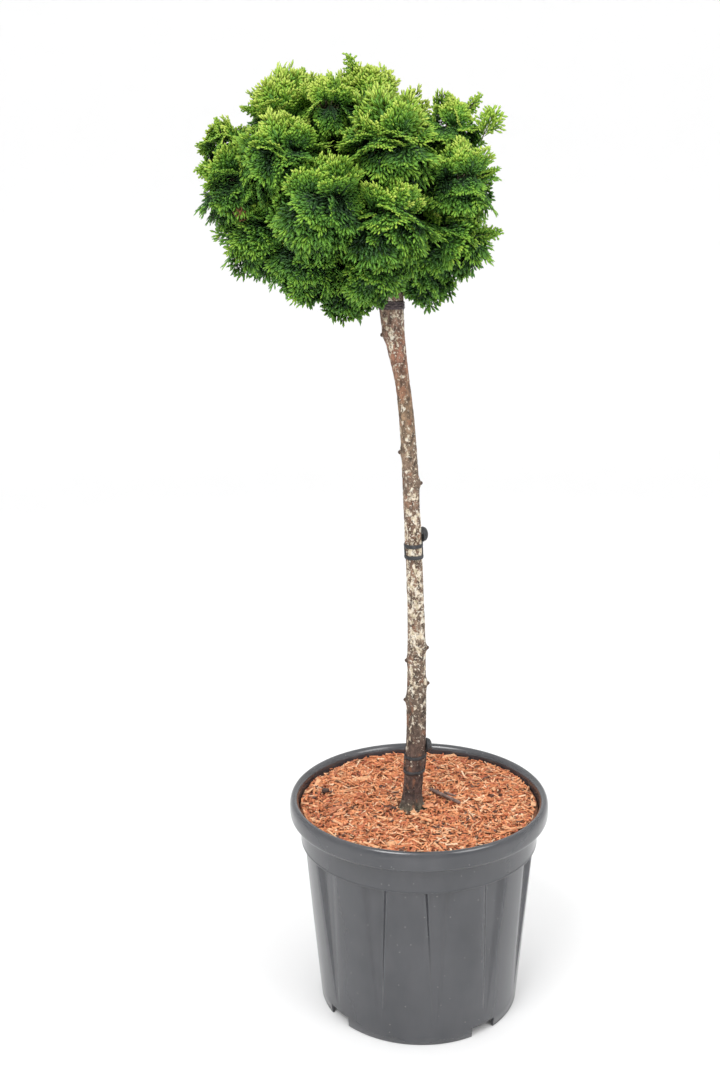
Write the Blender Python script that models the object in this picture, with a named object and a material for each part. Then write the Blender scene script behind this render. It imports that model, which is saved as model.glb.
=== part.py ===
"""A dwarf hinoki cypress grafted on a bare stem, standing in its round nursery pot.

Metres, +Z up. The origin is on the pot's axis, on the flat underside that it stands on, and -Y is the front.
The pot is filled with soil under a layer of bark chips. A bare trunk rises from the chips to a swollen
graft head, where boughs fork into a low round crown. Each mass of foliage is one solid: a dense core on its
own stem, with flat toothed sprays standing out of it, that keeps to its own cell of the crown.
"""

import math
import random

import bmesh
import bpy
from mathutils import Matrix, Vector

# Clearance between neighbouring pieces.
GAP = 0.0003

# Pot: a round moulded container with a straight collar, a rolled rim and fluted walls.
POT_FOOT_RADIUS = 0.117
POT_WALL_TOP_RADIUS = 0.1344
POT_WALL_TOP = 0.1985
POT_WALL = 0.0025
COLLAR_RADIUS = 0.1374
COLLAR_TOP_RADIUS = 0.1388
COLLAR_TOP = 0.2290
RIM_RADIUS = 0.1502
# The rim's outer side, as (inset from the rim's radius, height above the collar) pairs.
RIM_SECTION = ((0.0026, 0.0006), (0.0, 0.0060), (0.0006, 0.0160))
RIM_CREST_RADIUS = 0.1460
RIM_INNER_RADIUS, RIM_INNER_FOOT = 0.1398, 0.2430
POT_HEIGHT = 0.2520
FLOOR_UNDERSIDE = 0.0120
BOSS_RADIUS, BOSS_TAPER = 0.0180, 0.0008

# Flutes: each sector of the wall has one shallow wedge, wide under the collar and closing near the foot.
SECTORS = 12
FIRST_FLUTE_ANGLE = -51.0
FLUTE_DEPTH = 0.0060
FLUTE_FOOT = 0.0210
FLUTE_EDGE_TOP, FLUTE_EDGE_FOOT = 6.9, 2.0
FLUTE_BED_TOP, FLUTE_BED_FOOT = 4.4, 0.7
COLUMNS_PER_SECTOR = 5
# The skirt under the floor is cut away in a drain notch under every third flute.
NOTCH_EVERY = 3
NOTCH_EDGE, NOTCH_INNER = 8.0, 2.6
NOTCH_SIDES = 3

# Fill of the pot.
SOIL_TOP = 0.2285
MULCH_EDGE_RADIUS, MULCH_EDGE_TOP = 0.1382, 0.2408
MULCH_TOP = 0.2434
MULCH_ROUGHNESS = 0.0012
MULCH_FLAT_RADIUS = 0.0240
# Share of the way out at which the mound is at its most uneven.
MULCH_MOUND = 0.62

# Trunk: height, offset to the side and radius along its centre line, all in the plane TRUNK_DEPTH.
TRUNK_DEPTH = -0.020
TRUNK_STATIONS = (
    (0.2437, -0.0088, 0.0126),
    (0.2640, -0.0068, 0.0109),
    (0.3130, -0.0033, 0.0110),
    (0.3730, -0.0022, 0.0106),
    (0.4500, -0.0022, 0.0096),
    (0.5200, -0.0042, 0.0091),
    (0.6000, -0.0075, 0.0092),
    (0.6800, -0.0115, 0.0085),
    (0.7380, -0.0182, 0.0082),
    (0.7800, -0.0255, 0.0112),
    (0.8060, -0.0280, 0.0126),
    (0.8280, -0.0286, 0.0126),
)
TRUNK_SIDES = 11
TRUNK_RING_STEP = 0.038
# The trunk is a little oval, and the oval turns by this many radians for each metre of height.
TRUNK_LUMPS = 0.035
TRUNK_TWIST = 12.0
HEAD_DOME_ANGLES = (28, 54, 76)
ROOT_FLARE_HEIGHT = 0.011
ROOT_FLARE_REACH = 0.0045
ROOT_FLARE_ANGLES = (-150, -40, 95)
# How many degrees a flare spreads round the trunk, and how fast it dies away upwards.
ROOT_FLARE_SPREAD, ROOT_FLARE_FALL = 34, 1.6
# Healed knots: height, angle round the trunk from the front, and how far they stand out.
KNOTS = (
    (0.7806, -90, 0.0016),
    (0.6561, -80, 0.0020),
    (0.6222, 85, 0.0026),
    (0.4362, 80, 0.0022),
    (0.4208, -85, 0.0014),
    (0.3938, 88, 0.0022),
    (0.3745, -80, 0.0022),
)
KNOT_SPREAD = 0.0055

# Rubber ties round the trunk: name, heights of the two loops, and the side of the button.
TIES = (
    ("tie_middle", 0.5535, 0.5410, 104),
    ("tie_lower", 0.3070, 0.2890, 98),
)
TIE_HEIGHT = 0.0046
TIE_THICKNESS = 0.0016
# Share of a hoop's height that each of its slanting edges takes.
HOOP_EDGE = 0.2
# The button is a low dome beside the trunk, on a strap that rises from the upper loop.
BUTTON_RADIUS, BUTTON_DEPTH = 0.0083, 0.0062
BUTTON_RISE, BUTTON_STAND = 0.0115, 0.0009
# Its profile, as shares of the depth and of the radius.
BUTTON_PROFILE = ((0.0, 1.0), (0.30, 0.98), (0.72, 0.76), (1.0, 0.34))
BUTTON_SIDES = 9
# Links: half the width in the trunk's columns, and the thickness.
LINK_HALF_WIDTH, LINK_THICKNESS = 0.22, 0.0011
GRAFT_BAND_LOW, GRAFT_BAND_HIGH = 0.8070, 0.8155
GRAFT_BAND_THICKNESS = 0.0013

# Crown. The masses share out the space by the power distance to their centres, and the limbs' hollow in the
# middle of the crown is kept by centres of its own.
HEAD_CENTRE = Vector((TRUNK_STATIONS[-1][1], TRUNK_DEPTH, TRUNK_STATIONS[-1][0]))
HOLLOW = (
    (Vector((-0.0286, -0.020, 0.818)), 0.0265),
    (Vector((-0.032, -0.018, 0.852)), 0.0350),
    (Vector((-0.045, -0.014, 0.884)), 0.0430),
    (Vector((-0.058, -0.010, 0.916)), 0.0500),
    (Vector((-0.100, -0.006, 0.926)), 0.0400),
)
CELL_MARGIN = 0.0006

# Main boughs leave the graft head in these directions: degrees round from +X, and down from upright.
MAIN_BOUGHS = {
    "left": (186, 52),
    "top_left": (127, 50),
    "top": (30, 6),
    "right_low": (352, 46),
    "front": (242, 52),
    "front_low": (298, 52),
    "back": (66, 52),
}
# Each mass: centre, reach, what its bough or stem leaves, and where: a share of the way along a parent bough,
# or a height on the trunk.
MASSES = {
    "left": ((-0.184, -0.040, 0.929), 0.042, "head", 0),
    "top_left": ((-0.134, 0.000, 0.998), 0.050, "head", 0),
    "top": ((-0.056, 0.012, 1.006), 0.048, "head", 0),
    "front": ((-0.093, -0.098, 0.908), 0.051, "head", 0),
    "back": ((-0.062, 0.080, 0.930), 0.050, "head", 0),
    "front_low": ((-0.029, -0.090, 0.892), 0.049, "head", 0),
    "right_low": ((0.030, -0.034, 0.878), 0.045, "head", 0),
    "right": ((0.040, -0.040, 0.930), 0.043, "top", 0.14),
    "left_high": ((-0.196, -0.024, 0.970), 0.032, "top_left", 0.74),
    "low_left": ((-0.160, -0.030, 0.885), 0.044, "left", 0.30),
    "low_front": ((-0.110, -0.058, 0.860), 0.044, "front", 0.30),
    "top_middle": ((-0.092, -0.034, 1.006), 0.034, "top_left", 0.62),
    "back_left": ((-0.150, 0.048, 0.935), 0.050, "top_left", 0.42),
    "back_top": ((-0.084, 0.060, 0.992), 0.044, "top", 0.60),
    "right_high": ((0.032, 0.000, 0.984), 0.036, "top", 0.45),
    "back_high": ((-0.018, 0.052, 0.986), 0.042, "top", 0.30),
    "back_right": ((0.028, 0.034, 0.924), 0.050, "right", 0.34),
    "front_left": ((-0.133, -0.072, 0.952), 0.048, "front", 0.58),
    "front_high": ((-0.032, -0.074, 0.960), 0.052, "front", 0.44),
    "back_low_left": ((-0.116, 0.042, 0.870), 0.046, "left", 0.22),
    "back_low_right": ((-0.020, 0.042, 0.862), 0.044, "trunk", 0.824),
    "low_middle": ((-0.047, -0.066, 0.850), 0.038, "trunk", 0.824),
    "bottom": ((-0.078, -0.016, 0.839), 0.041, "trunk", 0.823),
    "low_right": ((0.006, -0.018, 0.850), 0.037, "trunk", 0.824),
}
# Long sprays that stand out of the crown's outline: mass and tip.
LEADERS = (
    ("top", (-0.0721, 0.006, 1.0655)),
    ("top_left", (-0.1373, 0.000, 1.0510)),
    ("top_left", (-0.1158, 0.000, 1.0500)),
    ("top_left", (-0.1830, 0.002, 1.0130)),
    ("top_middle", (-0.0900, -0.024, 1.0400)),
    ("right_high", (0.0647, 0.000, 1.0215)),
    ("right_high", (0.0300, -0.002, 1.0225)),
    ("right", (0.0783, -0.034, 1.0030)),
    ("right", (0.0800, -0.042, 0.9440)),
    ("right_low", (0.0850, -0.036, 0.8830)),
    ("left_high", (-0.2050, -0.028, 1.0000)),
    ("left", (-0.2270, -0.038, 0.9500)),
    ("low_left", (-0.1905, -0.034, 0.8690)),
    ("low_front", (-0.1372, -0.060, 0.8290)),
    ("bottom", (-0.0709, -0.018, 0.7965)),
    ("bottom", (-0.1150, -0.020, 0.8180)),
    ("low_right", (-0.0015, -0.020, 0.8130)),
    ("low_right", (0.0380, -0.021, 0.8310)),
)

# A core stays inside its mass's reach where it faces out, and swells to meet its neighbours.
CORE_OUTER, CORE_INNER = 0.70, 0.92
CORE_UNEVENNESS = (0.94, 1.05)
# Shares of the reach: a neighbour's side nearer than the first starts to swell the core, over the second.
CORE_CROWDED, CORE_CROWDING = 1.3, 0.5
SPRAYS_PER_MASS = 15
SPRAY_TEETH = 3
SPRAY_HALF_ANGLE = 38.0
SPRAY_VALLEY = 0.68
# A fan is this much shorter at its two sides, its root is this wide, and it is thickest this far along.
SPRAY_SIDE_DROP, SPRAY_ROOT_HALF, SPRAY_MIDDLE = 0.14, 0.10, 0.45
SPRAY_THICKNESS, SPRAY_LEAST_THICKNESS = 0.0022, 1 / 60
SPRAY_CLEARANCE = 0.0014
SPRAY_CUP = 0.5
# A spray's root and tip, as shares of the reach: outwards, then along the surface.
SPRAY_ROOT = (0.46, -0.16)
SPRAY_TIP = (1.01, 0.26)
SPRAY_SHRINKS = (1.0, 0.86, 0.72, 0.60)
SPRAY_TWIST, SPRAY_JITTER = 0.4, 0.2
SPRAY_SIZES = (0.92, 1.06)
SPRAY_CUPS = (0.2, 1.0)
LEADER_ROOT, LEADER_MIDDLE = 0.35, 0.55
HANGING_BELOW = -0.35
# A leader's outline, as shares of its length: sideways, then forward, for one side of the blade.
LEADER_SIDE = ((0.06, 0.0), (0.18, 0.55), (0.10, 0.62), (0.13, 0.84))
STEM_RADIUS, STEM_CORE_RADIUS = 0.0018, 0.0034

BOUGH_SIDES = 5
BOUGH_RINGS = 4
BOUGH_RING_SPACING = 1.7
MAIN_BASE_RADIUS, MAIN_TIP_RADIUS = 0.0042, 0.0021
SIDE_BASE_RADIUS, SIDE_TIP_RADIUS = 0.0026, 0.0017
BOUGH_RETREAT = 0.0040
BOUGH_BEND = 0.32
# A bough's flat foot is this far from the rounded graft head, or from its parent's facets.
HEAD_CLEARANCE = 0.0009
SIDE_CLEARANCE = 0.0008
LIMB_CLEARANCE = 0.0006
# Share of the gap before a mass's stem by which its bough's sleeve overruns the bough.
SLEEVE_OVERRUN = 0.7
# The trunk's top inside the crown, for clearances: lowest height, step, count and how much fatter.
TOP_FOOT, TOP_STEP, TOP_POINTS, TOP_MARGIN = 0.76, 0.01, 9, 0.001

# Colour, roughness and metallic value of each material.
FINISHES = {
    "pot_plastic": ((0.055, 0.058, 0.066), 0.42, 0.0),
    "soil": ((0.060, 0.038, 0.024), 0.95, 0.0),
    "bark_chips": ((0.480, 0.185, 0.085), 0.90, 0.0),
    "bark": ((0.230, 0.165, 0.120), 0.85, 0.0),
    "tie_rubber": ((0.020, 0.020, 0.022), 0.60, 0.0),
    "foliage": ((0.200, 0.330, 0.060), 0.70, 0.0),
}


def mix(low, high, share):
    return low + (high - low) * share


def clear_scene():
    for obj in list(bpy.data.objects):
        bpy.data.objects.remove(obj, do_unlink=True)


def finish_material(name):
    """The material of that name, made on first use."""
    material = bpy.data.materials.get(name)
    if material is None:
        colour, roughness, metallic = FINISHES[name]
        material = bpy.data.materials.new(name)
        material.use_nodes = True
        shader = material.node_tree.nodes["Principled BSDF"]
        shader.inputs["Base Color"].default_value = (*colour, 1.0)
        shader.inputs["Roughness"].default_value = roughness
        shader.inputs["Metallic"].default_value = metallic
    return material


def add_object(name, mesh_builder, finish):
    """An object whose mesh is what mesh_builder puts into an empty bmesh."""
    bm = bmesh.new()
    mesh_builder(bm)
    bmesh.ops.recalc_face_normals(bm, faces=bm.faces)
    mesh = bpy.data.meshes.new(name)
    bm.to_mesh(mesh)
    bm.free()
    mesh.materials.append(finish_material(finish))
    obj = bpy.data.objects.new(name, mesh)
    bpy.context.scene.collection.objects.link(obj)
    return obj


def strip(bm, first, second, skipped=()):
    """Joins two rings of equal count, apart from the skipped columns.

    Each side is split from its lower left to its upper right, so walls that follow each other keep their gap.
    """
    low, high = (first, second) if first[0].co.z < second[0].co.z else (second, first)
    count = len(low)
    for index in range(count):
        if index in skipped:
            continue
        after = (index + 1) % count
        bm.faces.new((low[index], low[after], high[after]))
        bm.faces.new((low[index], high[after], high[index]))


def stack(bm, rings):
    """A closed solid through rings of points, with a flat cap on the first and the last."""
    verts = [[bm.verts.new(point) for point in ring] for ring in rings]
    for low, high in zip(verts, verts[1:]):
        strip(bm, low, high)
    bm.faces.new(verts[0][::-1])
    bm.faces.new(verts[-1])
    return verts


# Pot and what fills it


def wall_radius(height):
    return mix(POT_FOOT_RADIUS, POT_WALL_TOP_RADIUS, height / POT_WALL_TOP)


def sector_ring(radius, height, edge, bed, inset=0.0):
    """Points round the pot's axis, with each sector's columns at its flute's or notch's edges and bed."""
    pitch = 360 / SECTORS
    low = radius - inset
    columns = ((-edge, radius), (-bed, low), (bed, low), (edge, radius), (pitch / 2, radius))
    points = []
    for sector in range(SECTORS):
        middle = FIRST_FLUTE_ANGLE - 90 + sector * pitch
        for offset, reach in columns:
            angle = math.radians(middle + offset)
            points.append(Vector((reach * math.cos(angle), reach * math.sin(angle), height)))
    return points


def pot_ring(radius, height, fluted=False):
    """A ring whose columns follow the flutes' slanting edges up the wall."""
    rise = (height - FLUTE_FOOT) / (POT_WALL_TOP - FLUTE_FOOT)
    rise = min(max(rise, 0.0), 1.0)
    edge = mix(FLUTE_EDGE_FOOT, FLUTE_EDGE_TOP, rise)
    bed = mix(FLUTE_BED_FOOT, FLUTE_BED_TOP, rise)
    return sector_ring(radius, height, edge, bed, FLUTE_DEPTH * rise if fluted else 0.0)


def skirt_ring(radius, height):
    """A ring whose columns stand at the sides of the drain notches."""
    return sector_ring(radius, height, NOTCH_EDGE, NOTCH_INNER)


def inner_collar_radius(height):
    share = (height - POT_WALL_TOP) / (COLLAR_TOP - POT_WALL_TOP)
    return mix(COLLAR_RADIUS, COLLAR_TOP_RADIUS, share) - POT_WALL


def build_pot(bm):
    shelf = POT_WALL_TOP + POT_WALL
    floor = FLOOR_UNDERSIDE + POT_WALL
    underside = [
        pot_ring(BOSS_RADIUS, 0.0),
        pot_ring(BOSS_RADIUS + BOSS_TAPER, FLOOR_UNDERSIDE),
    ]
    skirt = [
        skirt_ring(POT_FOOT_RADIUS - POT_WALL, FLOOR_UNDERSIDE),
        skirt_ring(POT_FOOT_RADIUS - POT_WALL, 0.0),
        skirt_ring(POT_FOOT_RADIUS, 0.0),
        skirt_ring(wall_radius(FLOOR_UNDERSIDE), FLOOR_UNDERSIDE),
    ]
    upper = [
        pot_ring(wall_radius(FLUTE_FOOT), FLUTE_FOOT),
        pot_ring(POT_WALL_TOP_RADIUS, POT_WALL_TOP, fluted=True),
        pot_ring(COLLAR_RADIUS, POT_WALL_TOP),
        pot_ring(COLLAR_TOP_RADIUS, COLLAR_TOP),
        *(pot_ring(RIM_RADIUS - inset, COLLAR_TOP + rise) for inset, rise in RIM_SECTION),
        pot_ring(RIM_CREST_RADIUS, POT_HEIGHT),
        pot_ring(RIM_INNER_RADIUS, RIM_INNER_FOOT),
        pot_ring(inner_collar_radius(COLLAR_TOP), COLLAR_TOP),
        pot_ring(inner_collar_radius(shelf), shelf),
        pot_ring(wall_radius(shelf) - POT_WALL, shelf, fluted=True),
        pot_ring(wall_radius(floor) - POT_WALL, floor),
    ]
    rings = [[bm.verts.new(point) for point in ring] for ring in underside + skirt + upper]
    first, last = len(underside), len(underside) + len(skirt) - 1
    notches = [sector * COLUMNS_PER_SECTOR for sector in range(0, SECTORS, NOTCH_EVERY)]
    notched = [left + side for left in notches for side in range(NOTCH_SIDES)]
    for index, (low, high) in enumerate(zip(rings, rings[1:])):
        in_skirt = first <= index < last
        strip(bm, low, high, skipped=notched if in_skirt else ())
    # At a notch the skirt stops at two sides, under a flat lintel.
    inner, outer = rings[first], rings[last]
    for left in notches:
        for side in (left, left + NOTCH_SIDES):
            bm.faces.new([ring[side] for ring in rings[first:last + 1]])
        for column in range(left, left + NOTCH_SIDES):
            bm.faces.new((inner[column], inner[column + 1], outer[column + 1], outer[column]))
    bm.faces.new(rings[0][::-1])
    bm.faces.new(rings[-1])


def build_soil(bm):
    shelf = POT_WALL_TOP + POT_WALL + GAP
    floor = FLOOR_UNDERSIDE + POT_WALL + GAP
    inset = POT_WALL + GAP
    stack(bm, [
        pot_ring(wall_radius(floor) - inset, floor, fluted=True),
        pot_ring(wall_radius(shelf) - inset, shelf, fluted=True),
        pot_ring(inner_collar_radius(shelf) - GAP, shelf),
        pot_ring(inner_collar_radius(SOIL_TOP) - GAP, SOIL_TOP),
    ])


def build_mulch(bm):
    """A layer of chips, gently mounded and uneven, flat where the trunk stands on it."""
    rng = random.Random(11)
    foot = SOIL_TOP + GAP
    rings = [
        pot_ring(inner_collar_radius(foot) - GAP, foot),
        pot_ring(MULCH_EDGE_RADIUS, MULCH_EDGE_TOP),
    ]
    mound = pot_ring(MULCH_EDGE_RADIUS * MULCH_MOUND, mix(MULCH_TOP, MULCH_EDGE_TOP, MULCH_MOUND ** 3))
    for point in mound:
        point.z += rng.uniform(-MULCH_ROUGHNESS, MULCH_ROUGHNESS)
    to_trunk = Vector((TRUNK_STATIONS[0][1], TRUNK_DEPTH, 0))
    rings += [mound, [point + to_trunk for point in pot_ring(MULCH_FLAT_RADIUS, MULCH_TOP)]]
    stack(bm, rings)


# Trunk and ties


def trunk_at(height):
    """Centre and radius of the trunk at a height, by a smooth curve through its stations."""
    stations = TRUNK_STATIONS
    index = 0
    while index < len(stations) - 2 and stations[index + 1][0] < height:
        index += 1
    share = (height - stations[index][0]) / (stations[index + 1][0] - stations[index][0])
    before = stations[max(index - 1, 0)]
    low, high = stations[index], stations[index + 1]
    after = stations[min(index + 2, len(stations) - 1)]
    span = high[0] - low[0]

    def smooth(column):
        slope_low = (high[column] - before[column]) / (high[0] - before[0]) * span
        slope_high = (after[column] - low[column]) / (after[0] - low[0]) * span
        cubic = 2 * (low[column] - high[column]) + slope_low + slope_high
        square = 3 * (high[column] - low[column]) - 2 * slope_low - slope_high
        return low[column] + share * (slope_low + share * (square + share * cubic))

    return Vector((smooth(1), TRUNK_DEPTH, height)), smooth(2)


def angle_between(first, second):
    return (first - second + 180) % 360 - 180


def trunk_point(height, column, proud=0.0):
    """A point of the trunk's skin, or of a ring that far outside it."""
    centre, radius = trunk_at(height)
    turn = 360 * column / TRUNK_SIDES
    reach = radius * (1 + TRUNK_LUMPS * math.sin(math.radians(2 * turn) + TRUNK_TWIST * height))
    for knot_height, knot_turn, bulge in KNOTS:
        along = (height - knot_height) / KNOT_SPREAD
        round_it = math.radians(angle_between(turn, knot_turn)) * radius / KNOT_SPREAD
        reach += bulge * math.exp(-along * along - round_it * round_it)
    above_foot = (height - TRUNK_STATIONS[0][0]) / ROOT_FLARE_HEIGHT
    for flare_turn in ROOT_FLARE_ANGLES:
        lobe = angle_between(turn, flare_turn) / ROOT_FLARE_SPREAD
        reach += ROOT_FLARE_REACH * math.exp(-above_foot * ROOT_FLARE_FALL - lobe * lobe)
    angle = math.radians(turn - 90)
    reach += proud
    return centre + Vector((reach * math.cos(angle), reach * math.sin(angle), 0))


def trunk_ring(height, proud=0.0):
    return [trunk_point(height, column, proud) for column in range(TRUNK_SIDES)]


def trunk_heights():
    """Even steps up the trunk, with a ring at each knot, and close ones in the root flare."""
    foot, head = TRUNK_STATIONS[0][0], HEAD_CENTRE.z
    knots = [knot[0] for knot in KNOTS]
    tie_levels = [level for tie in TIES for level in tie[1:3]]
    heights = [foot, foot + 0.4 * ROOT_FLARE_HEIGHT, foot + ROOT_FLARE_HEIGHT]
    heights += knots + tie_levels + [GRAFT_BAND_LOW, GRAFT_BAND_HIGH, head]
    count = round((head - foot) / TRUNK_RING_STEP)
    for index in range(2, count):
        height = foot + index * (head - foot) / count
        if min(abs(height - other) for other in heights) > 0.4 * TRUNK_RING_STEP:
            heights.append(height)
    return sorted(heights)


def build_trunk(bm):
    rings = [trunk_ring(height) for height in trunk_heights()]
    shoulder, radius = rings[-1], trunk_at(HEAD_CENTRE.z)[1]
    for degrees in HEAD_DOME_ANGLES:
        lift = Vector((0, 0, radius * math.sin(math.radians(degrees))))
        shrink = math.cos(math.radians(degrees))
        rings.append([HEAD_CENTRE + (point - HEAD_CENTRE) * shrink + lift for point in shoulder])
    stack(bm, rings)


def band(bm, low, high, thickness):
    """A closed hoop round the trunk between two heights."""
    slope = HOOP_EDGE * (high - low)
    corners = ((low, GAP), (low + slope, thickness), (high - slope, thickness), (high, GAP))
    loops = [[bm.verts.new(point) for point in trunk_ring(height, proud)] for height, proud in corners]
    for here, there in zip(loops, loops[1:] + loops[:1]):
        strip(bm, here, there)


def solid_from(builder, name="piece"):
    """A mesh object for a union, kept out of the scene."""
    bm = bmesh.new()
    builder(bm)
    bmesh.ops.recalc_face_normals(bm, faces=bm.faces)
    mesh = bpy.data.meshes.new(name)
    bm.to_mesh(mesh)
    bm.free()
    return bpy.data.objects.new(name, mesh)


def largest_body(mesh):
    """Keeps the outer shell of the largest body, so a sealed hollow is filled and a loose scrap dropped."""
    bm = bmesh.new()
    bm.from_mesh(mesh)
    bm.verts.ensure_lookup_table()
    unseen = set(bm.verts)
    shells = []
    while unseen:
        border = [unseen.pop()]
        shell = set(border)
        while border:
            vert = border.pop()
            for edge in vert.link_edges:
                other = edge.other_vert(vert)
                if other in unseen:
                    unseen.discard(other)
                    shell.add(other)
                    border.append(other)
        shells.append(shell)

    def spread(shell):
        low = Vector([min(vert.co[axis] for vert in shell) for axis in range(3)])
        high = Vector([max(vert.co[axis] for vert in shell) for axis in range(3)])
        return (high - low).length

    shells.sort(key=spread)
    extra = [vert for shell in shells[:-1] for vert in shell]
    if extra:
        bmesh.ops.delete(bm, geom=extra, context="VERTS")
    bm.to_mesh(mesh)
    bm.free()


def combine(target, operation, pieces):
    """Puts a Boolean with a collection of pieces on an object, and returns the collection."""
    group = bpy.data.collections.new(target.name + "_" + operation.lower())
    bpy.context.scene.collection.children.link(group)
    for piece in pieces:
        group.objects.link(piece)
    modifier = target.modifiers.new(operation.title(), "BOOLEAN")
    modifier.operation = operation
    modifier.operand_type = "COLLECTION"
    modifier.collection = group
    modifier.solver = "EXACT"
    return group


def union(name, first, others, finish, cutters=()):
    """One solid from overlapping closed pieces, joined by one Boolean, and cut clear of any cutters."""
    scene = bpy.context.scene
    scene.collection.objects.link(first)
    groups = [combine(first, "UNION", others)]
    if cutters:
        groups.append(combine(first, "DIFFERENCE", cutters))
    bpy.context.view_layer.update()
    graph = bpy.context.evaluated_depsgraph_get()
    mesh = bpy.data.meshes.new_from_object(first.evaluated_get(graph))
    for piece in [first, *others, *cutters]:
        bpy.data.objects.remove(piece, do_unlink=True)
    for group in groups:
        bpy.data.collections.remove(group)
    largest_body(mesh)
    mesh.name = name
    mesh.materials.clear()
    mesh.materials.append(finish_material(finish))
    obj = bpy.data.objects.new(name, mesh)
    scene.collection.objects.link(obj)
    return obj


def build_tie(name, upper, lower, button_turn):
    """Two rubber loops joined by links at the sides, with the round button that locks them."""
    half = TIE_HEIGHT / 2
    loops = [
        solid_from(lambda bm, level=level: band(bm, level - half, level + half, TIE_THICKNESS))
        for level in (upper, lower)
    ]
    extras = [loops[1]]
    for turn in (button_turn, button_turn + 180):
        extras.append(solid_from(lambda bm, turn=turn: build_link(bm, lower, upper, turn)))
    extras.append(solid_from(lambda bm: build_link(bm, upper, upper + BUTTON_RISE, button_turn)))
    extras.append(solid_from(lambda bm: build_button(bm, upper + BUTTON_RISE, button_turn)))
    return union(name, loops[0], extras, "tie_rubber")


def build_link(bm, lower, upper, turn):
    """A flat strap along the trunk between two heights."""
    column = turn / 360 * TRUNK_SIDES
    left, right = column - LINK_HALF_WIDTH, column + LINK_HALF_WIDTH
    rings = []
    for height in (lower, upper):
        near, far = 2 * GAP, LINK_THICKNESS
        corners = ((left, near), (right, near), (right, far), (left, far))
        rings.append([trunk_point(height, place, proud) for place, proud in corners])
    stack(bm, rings)


def build_button(bm, height, turn):
    """A dome whose flat back stands just off the trunk's side."""
    angle = math.radians(turn - 90)
    out = Vector((math.cos(angle), math.sin(angle), 0))
    centre, radius = trunk_at(height)
    back = centre + out * (radius * (1 + TRUNK_LUMPS) + BUTTON_STAND)
    side, over = frame_along(out)
    rings = []
    for depth, width in BUTTON_PROFILE:
        rings.append([
            back + out * depth * BUTTON_DEPTH
            + BUTTON_RADIUS * width * (math.cos(turning) * side + math.sin(turning) * over)
            for turning in (2 * math.pi * step / BUTTON_SIDES for step in range(BUTTON_SIDES))
        ])
    stack(bm, rings)


def build_graft_band(bm):
    band(bm, GRAFT_BAND_LOW, GRAFT_BAND_HIGH, GRAFT_BAND_THICKNESS)


def build_trunk_group():
    add_object("trunk", build_trunk, "bark")
    for name, upper, lower, button_turn in TIES:
        build_tie(name, upper, lower, button_turn)
    add_object("graft_band", build_graft_band, "tie_rubber")


# Limbs


def frame_along(direction):
    """Two unit vectors square to a direction."""
    helper = Vector((0, 0, 1)) if abs(direction.z) < 0.9 else Vector((1, 0, 0))
    side = direction.cross(helper).normalized()
    return side, side.cross(direction).normalized()


def tapered_limb(bm, points, radii, sides):
    """A round limb through points, with flat ends square to its first and last stretch."""
    rings = []
    for index, (point, radius) in enumerate(zip(points, radii)):
        before = points[max(index - 1, 0)]
        after = points[min(index + 1, len(points) - 1)]
        side, over = frame_along((after - before).normalized())
        rings.append([
            point + radius * (math.cos(turning) * side + math.sin(turning) * over)
            for turning in (2 * math.pi * step / sides for step in range(sides))
        ])
    stack(bm, rings)


def bezier(start, leaving, arriving, end, share):
    """A point of the curve that leaves start towards one bend and arrives at end from another."""
    first = start.lerp(leaving, share).lerp(leaving.lerp(arriving, share), share)
    second = leaving.lerp(arriving, share).lerp(arriving.lerp(end, share), share)
    return first.lerp(second, share)


def mass_centre(name):
    return Vector(MASSES[name][0])


def power_planes(name):
    """The flat sides of a mass's cell, as (normal, distance from the mass's centre) pairs."""
    centre, reach = mass_centre(name), MASSES[name][1]
    others = [(mass_centre(other), MASSES[other][1]) for other in MASSES if other != name]
    planes = []
    for point, radius in others + list(HOLLOW):
        away = point - centre
        apart = away.length
        side = (apart ** 2 + reach ** 2 - radius ** 2) / (2 * apart)
        planes.append((away / apart, side - CELL_MARGIN))
    return planes


def room_along(planes, direction):
    """How far it is from a mass's centre along a direction to the side of its cell."""
    room = math.inf
    for normal, distance in planes:
        slope = normal.dot(direction)
        if slope > 0:
            room = min(room, distance / slope)
    return room


def in_cell(planes, offset):
    return all(normal.dot(offset) <= distance for normal, distance in planes)


def side_start(on_parent, along, parent_radius, out, radius):
    """Where a limb that leaves a parent's side starts, so that its flat end just clears the parent."""
    cosine = abs(out.dot(along))
    sine = math.sqrt(1 - cosine ** 2)
    return on_parent + out * ((parent_radius + GAP + radius * cosine) / sine)


def junction(name):
    """Where a mass's stem starts, and the way it goes on: from its bough's tip, or from the trunk's side."""
    centre, (parent, place) = mass_centre(name), MASSES[name][2:]
    if parent == "trunk":
        on_trunk, radius = trunk_at(place)
        out = (centre - on_trunk).normalized()
        return side_start(on_trunk, Vector((0, 0, 1)), radius * (1 + TRUNK_LUMPS), out, STEM_RADIUS), out
    source = min(HOLLOW, key=lambda ball: (ball[0] - centre).length_squared - ball[1] ** 2)[0]
    inward = (source - centre).normalized()
    room = room_along(power_planes(name), inward)
    return centre + inward * (room + BOUGH_RETREAT), -inward


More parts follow.
